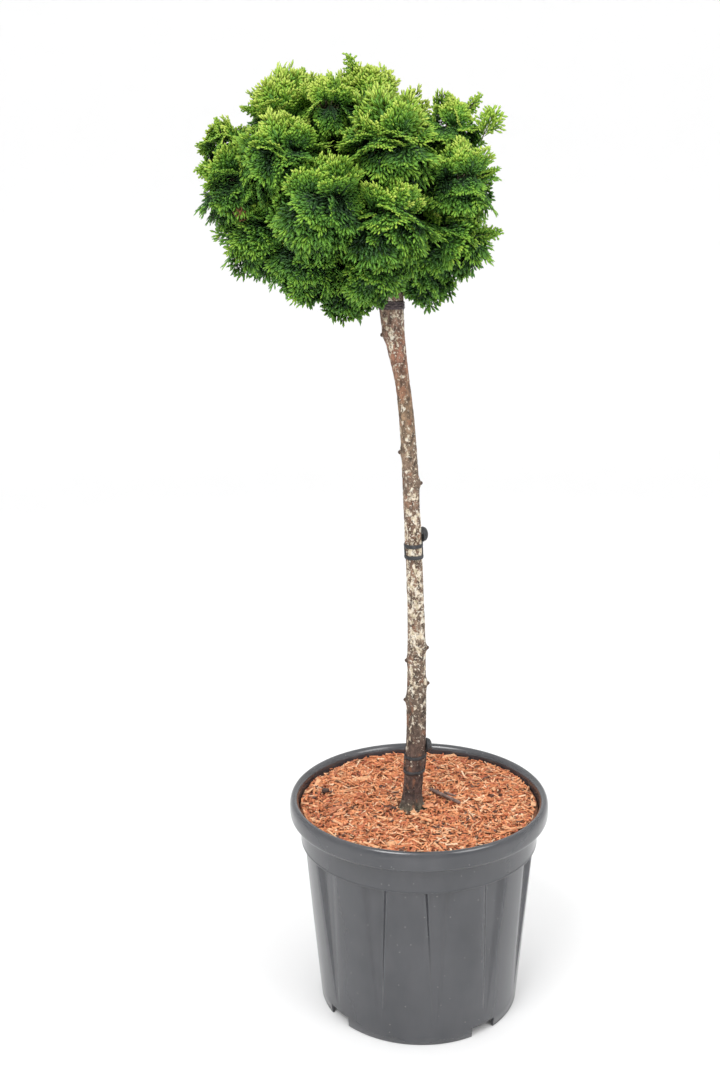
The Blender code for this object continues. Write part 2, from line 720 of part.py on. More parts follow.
def bough_path(name, paths):
    """The points and radii of a mass's bough, from the graft head or from the side of its parent."""
    end, heading = junction(name)
    end = end - heading * GAP
    parent, share = MASSES[name][2:]
    if parent == "head":
        turn, tilt = (math.radians(angle) for angle in MAIN_BOUGHS[name])
        out = Vector((math.cos(turn) * math.sin(tilt), math.sin(turn) * math.sin(tilt), math.cos(tilt)))
        start = HEAD_CENTRE + out * (trunk_at(HEAD_CENTRE.z)[1] * (1 + TRUNK_LUMPS) + HEAD_CLEARANCE)
        base_radius, tip_radius = MAIN_BASE_RADIUS, MAIN_TIP_RADIUS
    else:
        points, radii = paths[parent]
        place = share * (len(points) - 1)
        index = min(int(place), len(points) - 2)
        on_parent = points[index].lerp(points[index + 1], place - index)
        along = (points[index + 1] - points[index]).normalized()
        base_radius, tip_radius = SIDE_BASE_RADIUS, SIDE_TIP_RADIUS
        out = (end - on_parent).normalized()
        thickness = mix(radii[index], radii[index + 1], place - index)
        start = side_start(on_parent, along, thickness + SIDE_CLEARANCE, out, base_radius)
    reach = (end - start).length * BOUGH_BEND
    leaving, arriving = start + out * reach, end - heading * reach
    last = BOUGH_RINGS - 1
    # The rings are closest near the foot, so that its flat end lies square to the way the bough leaves.
    shares = [(step / last) ** BOUGH_RING_SPACING for step in range(BOUGH_RINGS)]
    points = [bezier(start, leaving, arriving, end, share) for share in shares]
    radii = [mix(base_radius, tip_radius, share) for share in shares]
    return points, radii


def build_boughs():
    paths = {}
    for name, mass in MASSES.items():
        if mass[2] == "trunk":
            continue
        paths[name] = bough_path(name, paths)
        add_object("bough_" + name, lambda bm, limb=paths[name]: tapered_limb(bm, *limb, BOUGH_SIDES), "bark")
    return paths


# Foliage


def build_core(bm, name, planes, rng):
    """An uneven ball, flattened where a neighbour is near."""
    reach = MASSES[name][1]
    bmesh.ops.create_icosphere(bm, subdivisions=2, radius=1.0)
    for vert in bm.verts:
        direction = vert.co.normalized()
        room = room_along(planes, direction)
        crowded = min(max((CORE_CROWDED * reach - room) / (CORE_CROWDING * reach), 0.0), 1.0)
        wanted = reach * mix(CORE_OUTER, CORE_INNER, crowded) * rng.uniform(*CORE_UNEVENNESS)
        vert.co = mass_centre(name) + direction * min(wanted, room)


def spray_points(root, tip, across, cup):
    """Outline and the two middle points of a toothed fan from its root to its tip."""
    along = tip - root
    length = along.length
    along.normalize()
    over = across.cross(along).normalized()
    half = math.radians(SPRAY_HALF_ANGLE)
    outline = [(-SPRAY_ROOT_HALF * length, 0.0)]
    steps = 2 * SPRAY_TEETH - 2
    for step in range(steps + 1):
        angle = mix(-half, half, step / steps)
        radius = length * (1.0 if step % 2 == 0 else SPRAY_VALLEY)
        radius *= 1 - SPRAY_SIDE_DROP * (angle / half) ** 2
        outline.append((radius * math.sin(angle), radius * math.cos(angle)))
    outline.append((SPRAY_ROOT_HALF * length, 0.0))

    def place(sideways, forward, lift=0.0):
        bowl = cup * sideways * sideways / length
        return root + across * sideways + along * forward + over * (bowl + lift)

    rim = [place(sideways, forward) for sideways, forward in outline]
    middle = SPRAY_MIDDLE * length
    thickness = max(SPRAY_THICKNESS, length * SPRAY_LEAST_THICKNESS)
    return rim, place(0, middle, thickness / 2), place(0, middle, -thickness / 2)


def build_spray(bm, rim, top, bottom):
    verts = [bm.verts.new(point) for point in rim]
    apex, base = bm.verts.new(top), bm.verts.new(bottom)
    for index, vert in enumerate(verts):
        after = verts[(index + 1) % len(verts)]
        bm.faces.new((apex, vert, after))
        bm.faces.new((base, after, vert))


def spray_directions(count):
    """Directions spread evenly over a ball."""
    for index in range(count):
        height = 1 - 2 * (index + 0.5) / count
        turn = index * math.pi * (3 - math.sqrt(5))
        level = math.sqrt(1 - height * height)
        yield Vector((level * math.cos(turn), level * math.sin(turn), height))


def clears_limbs(points, limbs):
    """Whether every point is well outside the trunk and the boughs."""
    for point in points:
        for path, radii in limbs.values():
            for start, end, radius in zip(path, path[1:], radii):
                stretch = end - start
                share = (point - start).dot(stretch) / stretch.length_squared
                nearest = start + stretch * min(max(share, 0.0), 1.0)
                if (point - nearest).length < radius + SPRAY_CLEARANCE:
                    return False
    return True


def grow_sprays(name, planes, limbs, rng):
    """The sprays that stand out of a mass, each skipped where it would leave the cell or touch a limb."""
    centre, reach = mass_centre(name), MASSES[name][1]
    upright = Vector((0, 0, 1))
    for direction in spray_directions(SPRAYS_PER_MASS):
        jitter = [rng.uniform(-SPRAY_JITTER, SPRAY_JITTER) for _ in range(3)]
        direction = (direction + Vector(jitter)).normalized()
        level = upright.cross(direction)
        if level.length < 0.2:
            level = Vector((1, 0, 0))
        # Sprays lie over each other like shingles: they rise on the crown's sides and hang under it.
        turn = rng.uniform(-SPRAY_TWIST, SPRAY_TWIST) + (math.pi if direction.z < HANGING_BELOW else 0)
        across = Matrix.Rotation(turn, 3, direction) @ level.normalized()
        across = (across - direction * across.dot(direction)).normalized()
        along = direction.cross(across)
        size = rng.uniform(*SPRAY_SIZES)
        root = centre + reach * (SPRAY_ROOT[0] * direction + SPRAY_ROOT[1] * along)
        for shrink in SPRAY_SHRINKS:
            reached = reach * size * (SPRAY_TIP[0] * direction + SPRAY_TIP[1] * along)
            tip = root.lerp(centre + reached, shrink)
            rim, top, bottom = spray_points(root, tip, across, rng.uniform(*SPRAY_CUPS) * SPRAY_CUP)
            corners = [*rim, top, bottom]
            if all(in_cell(planes, point - centre) for point in corners) and clears_limbs(corners, limbs):
                yield rim, top, bottom
                break


def leader_points(name, tip):
    """A long toothed blade from inside a mass's core to a tip of the crown's outline."""
    centre, reach = mass_centre(name), MASSES[name][1]
    tip = Vector(tip)
    along = (tip - centre).normalized()
    root = centre + along * reach * LEADER_ROOT
    length = (tip - root).length
    across = along.cross(Vector((0, 1, 0))).normalized()
    over = across.cross(along)

    def place(sideways, forward, lift=0.0):
        return root + length * (across * sideways + along * forward) + over * lift

    left = [place(-sideways, forward) for sideways, forward in LEADER_SIDE]
    right = [place(sideways, forward) for sideways, forward in reversed(LEADER_SIDE)]
    top, bottom = (place(0, LEADER_MIDDLE, side * SPRAY_THICKNESS / 2) for side in (1, -1))
    return [*left, tip, *right], top, bottom


def build_mass(name, limbs):
    rng = random.Random(name)
    planes = power_planes(name)
    start, centre = junction(name)[0], mass_centre(name)
    thick = (STEM_RADIUS, STEM_CORE_RADIUS)
    pieces = [solid_from(lambda bm: tapered_limb(bm, (start, centre), thick, BOUGH_SIDES))]
    for spray in grow_sprays(name, planes, limbs, rng):
        pieces.append(solid_from(lambda bm, spray=spray: build_spray(bm, *spray)))
    for owner, tip in LEADERS:
        if owner == name:
            blade = leader_points(name, tip)
            pieces.append(solid_from(lambda bm, blade=blade: build_spray(bm, *blade)))
    core = solid_from(lambda bm: build_core(bm, name, planes, rng))
    owners = [owner for owner in limbs if owner == name or near_mass(name, *limbs[owner])]
    cutters = [
        solid_from(lambda bm, owner=owner: build_sleeve(bm, owner, *limbs[owner], owner == name))
        for owner in owners
    ]
    return union("foliage_" + name, core, pieces, "foliage", cutters)


def near_mass(name, points, radii):
    """Whether a limb comes inside a mass's reach."""
    centre, reach = mass_centre(name), MASSES[name][1]
    for start, end, radius in zip(points, points[1:], radii):
        for share in (0, 0.25, 0.5, 0.75, 1):
            if (start.lerp(end, share) - centre).length < reach + radius:
                return True
    return False


def build_sleeve(bm, owner, points, radii, for_owner):
    """A limb made fatter and longer, to cut a mass clear of it.

    One that belongs to another mass also clears the stem that it meets.
    """
    first = points[0] - (points[1] - points[0]).normalized() * LIMB_CLEARANCE
    beyond = points[-1] + (points[-1] - points[-2]).normalized() * SLEEVE_OVERRUN * GAP
    path, thick = [first, *points[1:-1], beyond], list(radii)
    if owner in MASSES and not for_owner:
        to_mass = (mass_centre(owner) - points[-1]).normalized()
        path.append(points[-1] + to_mass * (BOUGH_RETREAT + LIMB_CLEARANCE))
        thick.append(radii[-1])
    fat = 1 / math.cos(math.pi / BOUGH_SIDES)
    tapered_limb(bm, path, [radius * fat + LIMB_CLEARANCE for radius in thick], BOUGH_SIDES)


def trunk_limb():
    """The trunk's top as a path with radii, for clearances."""
    stations = [trunk_at(TOP_FOOT + TOP_STEP * step) for step in range(TOP_POINTS)]
    return [centre for centre, _ in stations], [radius + TOP_MARGIN for _, radius in stations]


def main():
    clear_scene()
    add_object("pot", build_pot, "pot_plastic")
    add_object("potting_soil", build_soil, "soil")
    add_object("bark_mulch", build_mulch, "bark_chips")
    build_trunk_group()
    paths = build_boughs()
    limbs = {"trunk": trunk_limb(), **paths}
    for name in MASSES:
        build_mass(name, limbs)


main()
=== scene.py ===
"""Looks of a dwarf hinoki cypress grafted on a bare stem, standing in its round nursery pot.

Metres, +Z up. The origin is on the pot's axis at the floor, and -Y is the front. Limbs and masses follow the
solids' named sizes and rule, carried on to finer twigs and to the flat scale-leaved shoots.
"""

import math

import bpy
import numpy as np
from mathutils import Matrix, Vector, noise


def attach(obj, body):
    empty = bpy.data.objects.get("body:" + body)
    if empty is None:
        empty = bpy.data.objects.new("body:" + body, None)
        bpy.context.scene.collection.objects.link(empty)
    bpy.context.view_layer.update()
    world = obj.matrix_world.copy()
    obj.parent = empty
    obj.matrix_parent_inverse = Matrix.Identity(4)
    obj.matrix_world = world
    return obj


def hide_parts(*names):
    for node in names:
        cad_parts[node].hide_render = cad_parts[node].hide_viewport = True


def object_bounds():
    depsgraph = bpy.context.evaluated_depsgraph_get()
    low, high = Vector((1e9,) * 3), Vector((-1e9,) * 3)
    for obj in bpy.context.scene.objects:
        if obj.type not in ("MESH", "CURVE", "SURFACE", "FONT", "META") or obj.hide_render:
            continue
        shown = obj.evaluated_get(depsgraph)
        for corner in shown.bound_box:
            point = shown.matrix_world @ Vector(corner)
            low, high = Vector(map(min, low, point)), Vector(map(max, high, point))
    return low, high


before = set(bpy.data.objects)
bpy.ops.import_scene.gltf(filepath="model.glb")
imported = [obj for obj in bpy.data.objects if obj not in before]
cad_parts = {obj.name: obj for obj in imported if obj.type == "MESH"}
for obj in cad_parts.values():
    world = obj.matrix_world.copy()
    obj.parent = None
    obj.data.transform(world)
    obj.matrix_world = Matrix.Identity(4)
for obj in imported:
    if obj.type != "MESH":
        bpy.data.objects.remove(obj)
cad_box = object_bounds()

# Camera: the photograph's place, direction and opening.
CAMERA_PLACE = Vector((0.0, -1.27808, 0.84941))
CAMERA_YAW, CAMERA_PITCH, CAMERA_ROLL = -2.9126, 12.9862, -0.6516
FOCAL_PIXELS, PHOTO_HEIGHT = 1178.6, 1080
SENSOR_HEIGHT = 36.0

# Pot
POT_FOOT_RADIUS, POT_WALL_TOP_RADIUS = 0.117, 0.1344
POT_WALL_TOP, POT_WALL = 0.1985, 0.0025
COLLAR_RADIUS, COLLAR_TOP_RADIUS, COLLAR_TOP = 0.1374, 0.1388, 0.2290
RIM_RADIUS, RIM_CREST_RADIUS, POT_HEIGHT = 0.1501, 0.1458, 0.2520
RIM_INNER_RADIUS, RIM_ROLL_CENTRE = 0.1398, 0.2430
# Steps out and up: the lip at the collar's foot, and the rim's underside over the collar's top.
COLLAR_LIP = ((-0.0002, 0.0), (0.0005, 0.0006), (0.0005, 0.0016), (0.0001, 0.0024))
RIM_UNDERSIDE = ((-0.0034, 0.0002), (-0.0008, 0.0022), (-0.0001, 0.0058))
FLOOR_UNDERSIDE, BOSS_RADIUS, FOOT_CHAMFER = 0.0120, 0.0180, 0.0008
SECTORS, FIRST_FLUTE_ANGLE, FLUTE_DEPTH, FLUTE_FOOT = 12, -51.0, 0.0060, 0.0210
FLUTE_EDGE_TOP, FLUTE_EDGE_FOOT = 6.9, 1.6
FLUTE_BED_TOP, FLUTE_BED_FOOT = 3.9, 0.5
NOTCH_EVERY, NOTCH_EDGE, NOTCH_BED = 3, 8.0, 2.6
SLOPE_COLUMNS, BED_COLUMNS, PLAIN_COLUMNS, WALL_ROWS = 5, 4, 6, 18

# Mulch
MULCH_RADIUS, MULCH_EDGE_TOP, MULCH_TOP = 0.1382, 0.2408, 0.2434
MULCH_BED_FOOT, MULCH_BED_SINK = 0.2300, 0.0012
CHIP_COUNT, CHIP_LIFT, LONGEST_CHIP, BIT_LIFT = 6400, 0.0026, 0.021, 0.0022
# The mulch stands back from the trunk's foot in a shallow ring.
CHIP_CLEARANCE = 0.0180
MULCH_GAP_REACH, MULCH_GAP_SPREAD, MULCH_GAP_DEPTH = 0.0140, 0.0035, 0.0015

# Trunk: height, offset to the side and radius along its centre line, all in the plane TRUNK_DEPTH.
TRUNK_DEPTH = -0.020
TRUNK_STATIONS = (
    (0.2437, -0.0088, 0.0126), (0.2640, -0.0068, 0.0109), (0.3130, -0.0033, 0.0110),
    (0.3730, -0.0022, 0.0106), (0.4500, -0.0022, 0.0096), (0.5200, -0.0042, 0.0091),
    (0.6000, -0.0075, 0.0092), (0.6800, -0.0115, 0.0085), (0.7380, -0.0182, 0.0082),
    (0.7800, -0.0255, 0.0112), (0.8060, -0.0280, 0.0126), (0.8280, -0.0286, 0.0126),
)
TRUNK_SINK = 0.0035
TRUNK_COLUMNS, TRUNK_RINGS = 80, 430
TRUNK_LUMPS, TRUNK_TWIST = 0.035, 12.0
ROOT_FLARE_HEIGHT, ROOT_FLARE_REACH = 0.011, 0.0045
ROOT_FLARE_ANGLES, ROOT_FLARE_SPREAD, ROOT_FLARE_FALL = (-150, -40, 95), 34, 1.6
# Healed knots: height, angle round the trunk from the front, and how far they stand out.
KNOTS = (
    (0.7806, -90, 0.0016), (0.6561, -80, 0.0020), (0.6222, 85, 0.0026), (0.4362, 80, 0.0022),
    (0.4208, -85, 0.0014), (0.3938, 88, 0.0022), (0.3745, -80, 0.0022),
)
KNOT_SPREAD = 0.0055
KNOT_STUB, KNOT_STUB_RADIUS = 0.0016, 0.0019

# Ties: name, heights of the two loops, and the side of the button.
TIES = (("tie_middle", 0.5535, 0.5410, 104), ("tie_lower", 0.3070, 0.2890, 98))
TIE_HEIGHT, TIE_THICKNESS = 0.00423, 0.0013
TIE_SAG, TIE_SAG_TURN = 0.0006, 150
STRAP_THICKNESS, STRAP_WIDTH, BUTTON_STRAP_WIDTH = 0.0011, 7.0, 13.0
BUTTON_RADIUS, BUTTON_DEPTH = 0.0083, 0.0062
BUTTON_RISE, BUTTON_STAND = 0.0115, 0.0009
GRAFT_BAND_LOW, GRAFT_BAND_HIGH, GRAFT_BAND_WINDS = 0.8070, 0.8155, 3

# Crown. The masses share out the space by the power distance to their centres, and the limbs' hollow in the
# middle of the crown is kept by centres of its own.
HEAD_CENTRE = Vector((TRUNK_STATIONS[-1][1], TRUNK_DEPTH, TRUNK_STATIONS[-1][0]))
HEAD_RADIUS = TRUNK_STATIONS[-1][2]
HOLLOW = (
    (Vector((-0.0286, -0.020, 0.818)), 0.0265), (Vector((-0.032, -0.018, 0.852)), 0.0350),
    (Vector((-0.045, -0.014, 0.884)), 0.0430), (Vector((-0.058, -0.010, 0.916)), 0.0500),
    (Vector((-0.100, -0.006, 0.926)), 0.0400),
)
# Main boughs leave the graft head in these directions: degrees round from +X, and down from upright.
MAIN_BOUGHS = {
    "left": (186, 52), "top_left": (127, 50), "top": (30, 6), "right_low": (352, 46),
    "front": (242, 52), "front_low": (298, 52), "back": (66, 52),
}
# Each mass: centre, reach, what its bough or stem leaves, and where: a share of the way along a parent bough,
# or a height on the trunk.
MASSES = {
    "left": ((-0.184, -0.040, 0.929), 0.042, "head", 0),
    "top_left": ((-0.134, 0.000, 0.998), 0.050, "head", 0),
    "top": ((-0.056, 0.012, 1.006), 0.048, "head", 0),
    "front": ((-0.093, -0.098, 0.908), 0.051, "head", 0),
    "back": ((-0.062, 0.080, 0.930), 0.050, "head", 0),
    "front_low": ((-0.029, -0.090, 0.892), 0.049, "head", 0),
    "right_low": ((0.030, -0.034, 0.878), 0.045, "head", 0),
    "right": ((0.040, -0.040, 0.930), 0.043, "top", 0.14),
    "left_high": ((-0.196, -0.024, 0.970), 0.032, "top_left", 0.74),
    "low_left": ((-0.160, -0.030, 0.885), 0.044, "left", 0.30),
    "low_front": ((-0.110, -0.058, 0.860), 0.044, "front", 0.30),
    "top_middle": ((-0.092, -0.034, 1.006), 0.034, "top_left", 0.62),
    "back_left": ((-0.150, 0.048, 0.935), 0.050, "top_left", 0.42),
    "back_top": ((-0.084, 0.060, 0.992), 0.044, "top", 0.60),
    "right_high": ((0.032, 0.000, 0.984), 0.036, "top", 0.45),
    "back_high": ((-0.018, 0.052, 0.986), 0.042, "top", 0.30),
    "back_right": ((0.028, 0.034, 0.924), 0.050, "right", 0.34),
    "front_left": ((-0.133, -0.072, 0.952), 0.048, "front", 0.58),
    "front_high": ((-0.032, -0.074, 0.960), 0.052, "front", 0.44),
    "back_low_left": ((-0.116, 0.042, 0.870), 0.046, "left", 0.22),
    "back_low_right": ((-0.020, 0.042, 0.862), 0.044, "trunk", 0.824),
    "low_middle": ((-0.047, -0.066, 0.850), 0.038, "trunk", 0.824),
    "bottom": ((-0.078, -0.016, 0.839), 0.041, "trunk", 0.823),
    "low_right": ((0.006, -0.018, 0.850), 0.037, "trunk", 0.824),
}
# Long sprays that stand out of the outline: mass, tip, and the share of the way where the leaves begin.
LEADERS = (
    ("top", (-0.0721, 0.006, 1.0655), 0.20),
    ("top_left", (-0.1373, 0.000, 1.0510), 0.15),
    ("top_left", (-0.1158, 0.000, 1.0500), 0.15),
    ("top_left", (-0.1830, 0.002, 1.0130), 0.15),
    ("top_middle", (-0.0900, -0.024, 1.0400), 0.15),
    ("right_high", (0.0647, 0.000, 1.0215), 0.15),
    ("right_high", (0.0300, -0.002, 1.0225), 0.15),
    ("right", (0.0783, -0.034, 1.0030), 0.60),
    ("right", (0.0800, -0.042, 0.9440), 0.20),
    ("right_low", (0.0850, -0.036, 0.8830), 0.30),
    ("left_high", (-0.2050, -0.028, 1.0000), 0.15),
    ("left", (-0.2270, -0.038, 0.9500), 0.15),
    ("low_left", (-0.1905, -0.034, 0.8690), 0.15),
    ("low_front", (-0.1372, -0.060, 0.8290), 0.15),
    ("bottom", (-0.0709, -0.018, 0.7965), 0.15),
    ("bottom", (-0.1150, -0.020, 0.8180), 0.15),
    ("low_right", (-0.0015, -0.020, 0.8130), 0.15),
    ("low_right", (0.0380, -0.021, 0.8310), 0.15),
)
GAP = 0.0003
MAIN_BASE_RADIUS, MAIN_TIP_RADIUS = 0.0042, 0.0021
SIDE_BASE_RADIUS, SIDE_TIP_RADIUS = 0.0026, 0.0017
STEM_RADIUS, STEM_TIP_RADIUS = 0.0018, 0.0010
BOUGH_RETREAT, BOUGH_BEND = 0.0040, 0.32
HEAD_CLEARANCE, SIDE_CLEARANCE = 0.0009, 0.0008
BOUGH_RINGS, BOUGH_SIDES = 22, 12
TWIG_SIDES = 4

# Sprays grow in cupped shells: how many a mass of the mean size gets, and where a shell's root and tip lie,
# as shares of the reach, outwards and along the surface.
MEAN_REACH = 0.044
SHELLS_PER_MASS = 25
# Nothing is seen of shoots nearer to the middle of their mass than this share of its reach.
HIDDEN_SHARE = 0.42
SHELL_ROOT, SHELL_TIP = (0.36, -0.34), (0.98, 0.42)
SPRAY_SHRINKS = (1.0, 0.88, 0.76, 0.64)
# No shell points straight out: it leans up or down at least this much, so that shells cross where they part.
LEAST_RISE = 0.3
# The fronds of a shell: degrees from its axis, and lengths.
FRONDS = ((-46, 0.86), (-23, 0.96), (0, 1.0), (23, 0.96), (46, 0.86))
CELL_RELIEF = 0.006
LIMB_RELIEF = 0.0012
LATERALS = 9
SHOOT_WIDTH, SHOOT_THICKNESS = 0.00122, 0.0011
# How long a small shoot is and how far apart they stand, in lengths of their frond.
SHOOT_SHARE, SHOOT_SPACING = 0.26, 0.105
PLUME_STEPS, PLUME_SHOOT_SHARE, PLUME_SHOOT_SPACING, PLUME_FREEDOM = 13, 0.13, 0.045, 0.02
TEMPLATES = 12
MOST_SHOOTS_A_PIECE = 30000

# Plain base colours of the shoots, from painted shade deep inside the crown to the paler new growth and
# painted light on top.
FOLIAGE_COLOURS = (
    ("deep", (0.012, 0.040, 0.011)),
    ("dark", (0.034, 0.102, 0.019)),
    ("green", (0.074, 0.200, 0.026)),
    ("fresh", (0.134, 0.310, 0.034)),
    ("light", (0.225, 0.425, 0.044)),
    ("yellow", (0.345, 0.525, 0.062)),
    ("gold", (0.490, 0.620, 0.105)),
    ("dead", (0.200, 0.092, 0.036)),
)
# A small spray low on the left has died and turned brown.
DEAD_SPOT, DEAD_REACH = (-0.1785, -0.0640, 0.9020), 0.0066

# Setting: a round floor that curves up into a backdrop.
FLOOR_RADII, FLOOR_CURVE, BACKDROP_HEIGHT = (0.0, 0.3, 0.8, 1.6, 2.6, 3.4), 1.4, 4.0


def mix(low, high, share):
    return low + (high - low) * share


def smooth_step(low, high, value):
    share = np.clip((value - low) / (high - low), 0.0, 1.0)
    return share * share * (3 - 2 * share)


# Materials


def new_material(name, colour, roughness, **sockets):
    """A Principled material with plain values on its own sockets, and its shader node."""
    material = bpy.data.materials.new(name)
    material.use_nodes = True
    shader = material.node_tree.nodes["Principled BSDF"]
    shader.inputs["Base Color"].default_value = (*colour, 1.0)
    shader.inputs["Roughness"].default_value = roughness
    for socket, value in sockets.items():
        shader.inputs[socket.replace("_", " ")].default_value = value
    return material, shader


def add_node(material, kind, inputs=(), **settings):
    """A shader node with its settings, and its inputs by name: a value, or a socket to link."""
    made = material.node_tree.nodes.new("ShaderNode" + kind)
    for setting, value in settings.items():
        setattr(made, setting, value)
    for socket, value in dict(inputs).items():
        feed(material, made, socket, value)
    return made


def feed(material, target, socket, value):
    if isinstance(value, bpy.types.NodeSocket):
        material.node_tree.links.new(value, target.inputs[socket])
    else:
        target.inputs[socket].default_value = value


def texture_space(material, stretch=(1, 1, 1), shift=(0, 0, 0)):
    space = add_node(material, "TexCoord").outputs["Object"]
    mapped = add_node(material, "Mapping", {"Vector": space, "Scale": stretch, "Location": shift})
    return mapped.outputs["Vector"]


def noise_value(material, scale, detail=4.0, stretch=(1, 1, 1), shift=(0, 0, 0), distortion=0.0):
    inputs = {"Vector": texture_space(material, stretch, shift)}
    inputs |= {"Scale": scale, "Detail": detail, "Distortion": distortion}
    return add_node(material, "TexNoise", inputs).outputs["Fac"]


def ramp(material, factor, stops):
    """A colour ramp through (place, colour) stops, where a colour may be one number for a grey."""
    made = add_node(material, "ValToRGB", {"Fac": factor})
    elements = made.color_ramp.elements
    while len(elements) < len(stops):
        elements.new(0.5)
    for element, (place, colour) in zip(elements, stops):
        element.position = place
        element.color = (colour, colour, colour, 1) if isinstance(colour, float) else (*colour, 1)
    return made.outputs["Color"]


def blend_colours(material, factor, first, second, kind="MIX"):
    made = add_node(material, "MixRGB", {"Fac": factor}, blend_type=kind)
    for socket, value in (("Color1", first), ("Color2", second)):
        feed(material, made, socket, (*value, 1) if isinstance(value, tuple) else value)
    return made.outputs["Color"]


def maths(material, operation, first, second, clamp=False):
    made = add_node(material, "Math", operation=operation, use_clamp=clamp)
    for index, value in enumerate((first, second)):
        feed(material, made, index, value)
    return made.outputs["Value"]


def add_bump(material, shader, height, distance, strength=1.0):
    bump = add_node(material, "Bump", {"Height": height, "Distance": distance, "Strength": strength})
    feed(material, shader, "Normal", bump.outputs["Normal"])


def plastic_material():
    """Satin black moulded plastic, dulled by handling and dust."""
    material, shader = new_material("pot_plastic", (0.034, 0.036, 0.041), 0.20, Specular_IOR_Level=0.9)
    cloud = noise_value(material, 14, 2)
    colour = ramp(material, cloud, ((0.3, (0.028, 0.030, 0.036)), (0.7, (0.042, 0.044, 0.051))))
    dust = ramp(material, noise_value(material, 26, 3, stretch=(1, 1, 0.35)), ((0.35, 0.0), (0.80, 0.22)))
    colour = blend_colours(material, dust, colour, (0.10, 0.10, 0.108))
    specks = add_node(material, "TexVoronoi", {"Vector": texture_space(material), "Scale": 95.0})
    dots = ramp(material, specks.outputs["Distance"], ((0.035, 0.4), (0.06, 0.0)))
    feed(material, shader, "Base Color", blend_colours(material, dots, colour, (0.42, 0.41, 0.39)))
    feed(material, shader, "Roughness", ramp(material, cloud, ((0.25, 0.15), (0.75, 0.22))))
    add_bump(material, shader, noise_value(material, 420, 3), 0.00008)
    return material


def grained_material(name, colour, roughness, grain, stops, relief, fine_grain=None, stretch=(1, 1, 1)):
    """One noise picks the colour between stops, and it or a finer one raises the relief."""
    material, shader = new_material(name, colour, roughness)
    cloud = noise_value(material, *grain, stretch=stretch)
    feed(material, shader, "Base Color", ramp(material, cloud, stops))
    add_bump(material, shader, noise_value(material, *fine_grain) if fine_grain else cloud, relief)
    return material


def soil_material():
    stops = ((0.3, (0.018, 0.011, 0.008)), (0.55, (0.050, 0.030, 0.020)), (0.75, (0.110, 0.065, 0.040)))
    return grained_material("damp_soil", (0.05, 0.03, 0.02), 0.95, (300, 6), stops, 0.002)


def wood_material(name, colour):
    """Torn wood fibre: one colour, darker and paler with its grain."""
    dark = tuple(0.62 * channel for channel in colour)
    pale = tuple(min(1.18 * channel + 0.01, 1.0) for channel in colour)
    stops = ((0.32, dark), (0.5, colour), (0.68, pale))
    return grained_material(name, colour, 0.78, (260, 4), stops, 0.0003, (900, 2))


def height_share(material, low, high):
    """0 to 1 up the plant between two heights."""
    level = add_node(material, "SeparateXYZ", {"Vector": texture_space(material)}).outputs["Z"]
    scaled = add_node(material, "MapRange", {"Value": level, "From Min": low, "From Max": high})
    return scaled.outputs["Result"]


def bark_material():
    """Mottled bark: brown under cream lichen, purple near the foot, red-brown where it has flaked."""
    material, shader = new_material("trunk_bark", (0.23, 0.165, 0.12), 0.86)
    up = height_share(material, 0.24, 0.84)
    colour = ramp(material, up, (
        (0.00, (0.120, 0.115, 0.080)), (0.03, (0.060, 0.040, 0.036)), (0.10, (0.085, 0.050, 0.040)),
        (0.20, (0.125, 0.088, 0.064)), (0.36, (0.190, 0.130, 0.090)), (0.54, (0.205, 0.120, 0.078)),
        (0.64, (0.175, 0.120, 0.085)), (0.77, (0.225, 0.150, 0.092)), (0.87, (0.240, 0.115, 0.075)),
        (0.94, (0.230, 0.150, 0.110)), (1.00, (0.160, 0.105, 0.080))))
    mottle = noise_value(material, 230, 7, stretch=(1, 1, 0.55))
    shadows = ramp(material, mottle, ((0.34, 0.30), (0.50, 0.90), (0.66, 1.60)))
    colour = blend_colours(material, 1.0, colour, shadows, "MULTIPLY")
    flakes = noise_value(material, 95, 6, stretch=(1, 1, 0.6), shift=(3, 1, 2))
    flakes = ramp(material, flakes, ((0.57, 0.0), (0.62, 0.5)))
    colour = blend_colours(material, flakes, colour, (0.300, 0.130, 0.070))
    # How much of the bark the lichen covers changes with the height. It lies in patches and in fine specks.
    cover = ramp(material, up, (
        (0.00, 0.42), (0.03, 0.22), (0.10, 0.30), (0.16, 0.42), (0.26, 0.58), (0.42, 0.72), (0.54, 0.72),
        (0.62, 0.56), (0.70, 0.52), (0.77, 0.30), (0.84, 0.48), (0.93, 0.60), (1.00, 0.30)))
    patches = noise_value(material, 190, 9, stretch=(1, 1, 0.7), distortion=0.3)
    patches = lichen_share(material, patches, cover, 0.36, 0.745, 16.0)
    specks = lichen_share(material, noise_value(material, 480, 4, shift=(2, 9, 4)), cover, 0.26, 0.725, 18.0)
    lichen = maths(material, "MAXIMUM", patches, specks)
    pale = ramp(material, noise_value(material, 210, 4, shift=(5, 2, 7)), (
        (0.30, (0.400, 0.350, 0.230)), (0.46, (0.640, 0.540, 0.400)), (0.60, (0.740, 0.680, 0.580)),
        (0.72, (0.560, 0.560, 0.420))))
    colour = blend_colours(material, lichen, colour, pale)
    flecks = ramp(material, noise_value(material, 560, 3, shift=(1, 8, 2)), ((0.57, 0.0), (0.64, 0.75)))
    feed(material, shader, "Base Color", blend_colours(material, flecks, colour, (0.075, 0.048, 0.036)))
    crust = maths(material, "MULTIPLY", lichen, 0.5)
    add_bump(material, shader, maths(material, "ADD", crust, mottle), 0.0011)
    return material


def lichen_share(material, spots, cover, weight, threshold, hardness):
    """0 to 1, with a hard edge, where spots rise past a threshold that more cover lowers."""
    height = maths(material, "ADD", spots, maths(material, "MULTIPLY", cover, weight))
    return maths(material, "MULTIPLY", maths(material, "SUBTRACT", height, threshold), hardness, clamp=True)


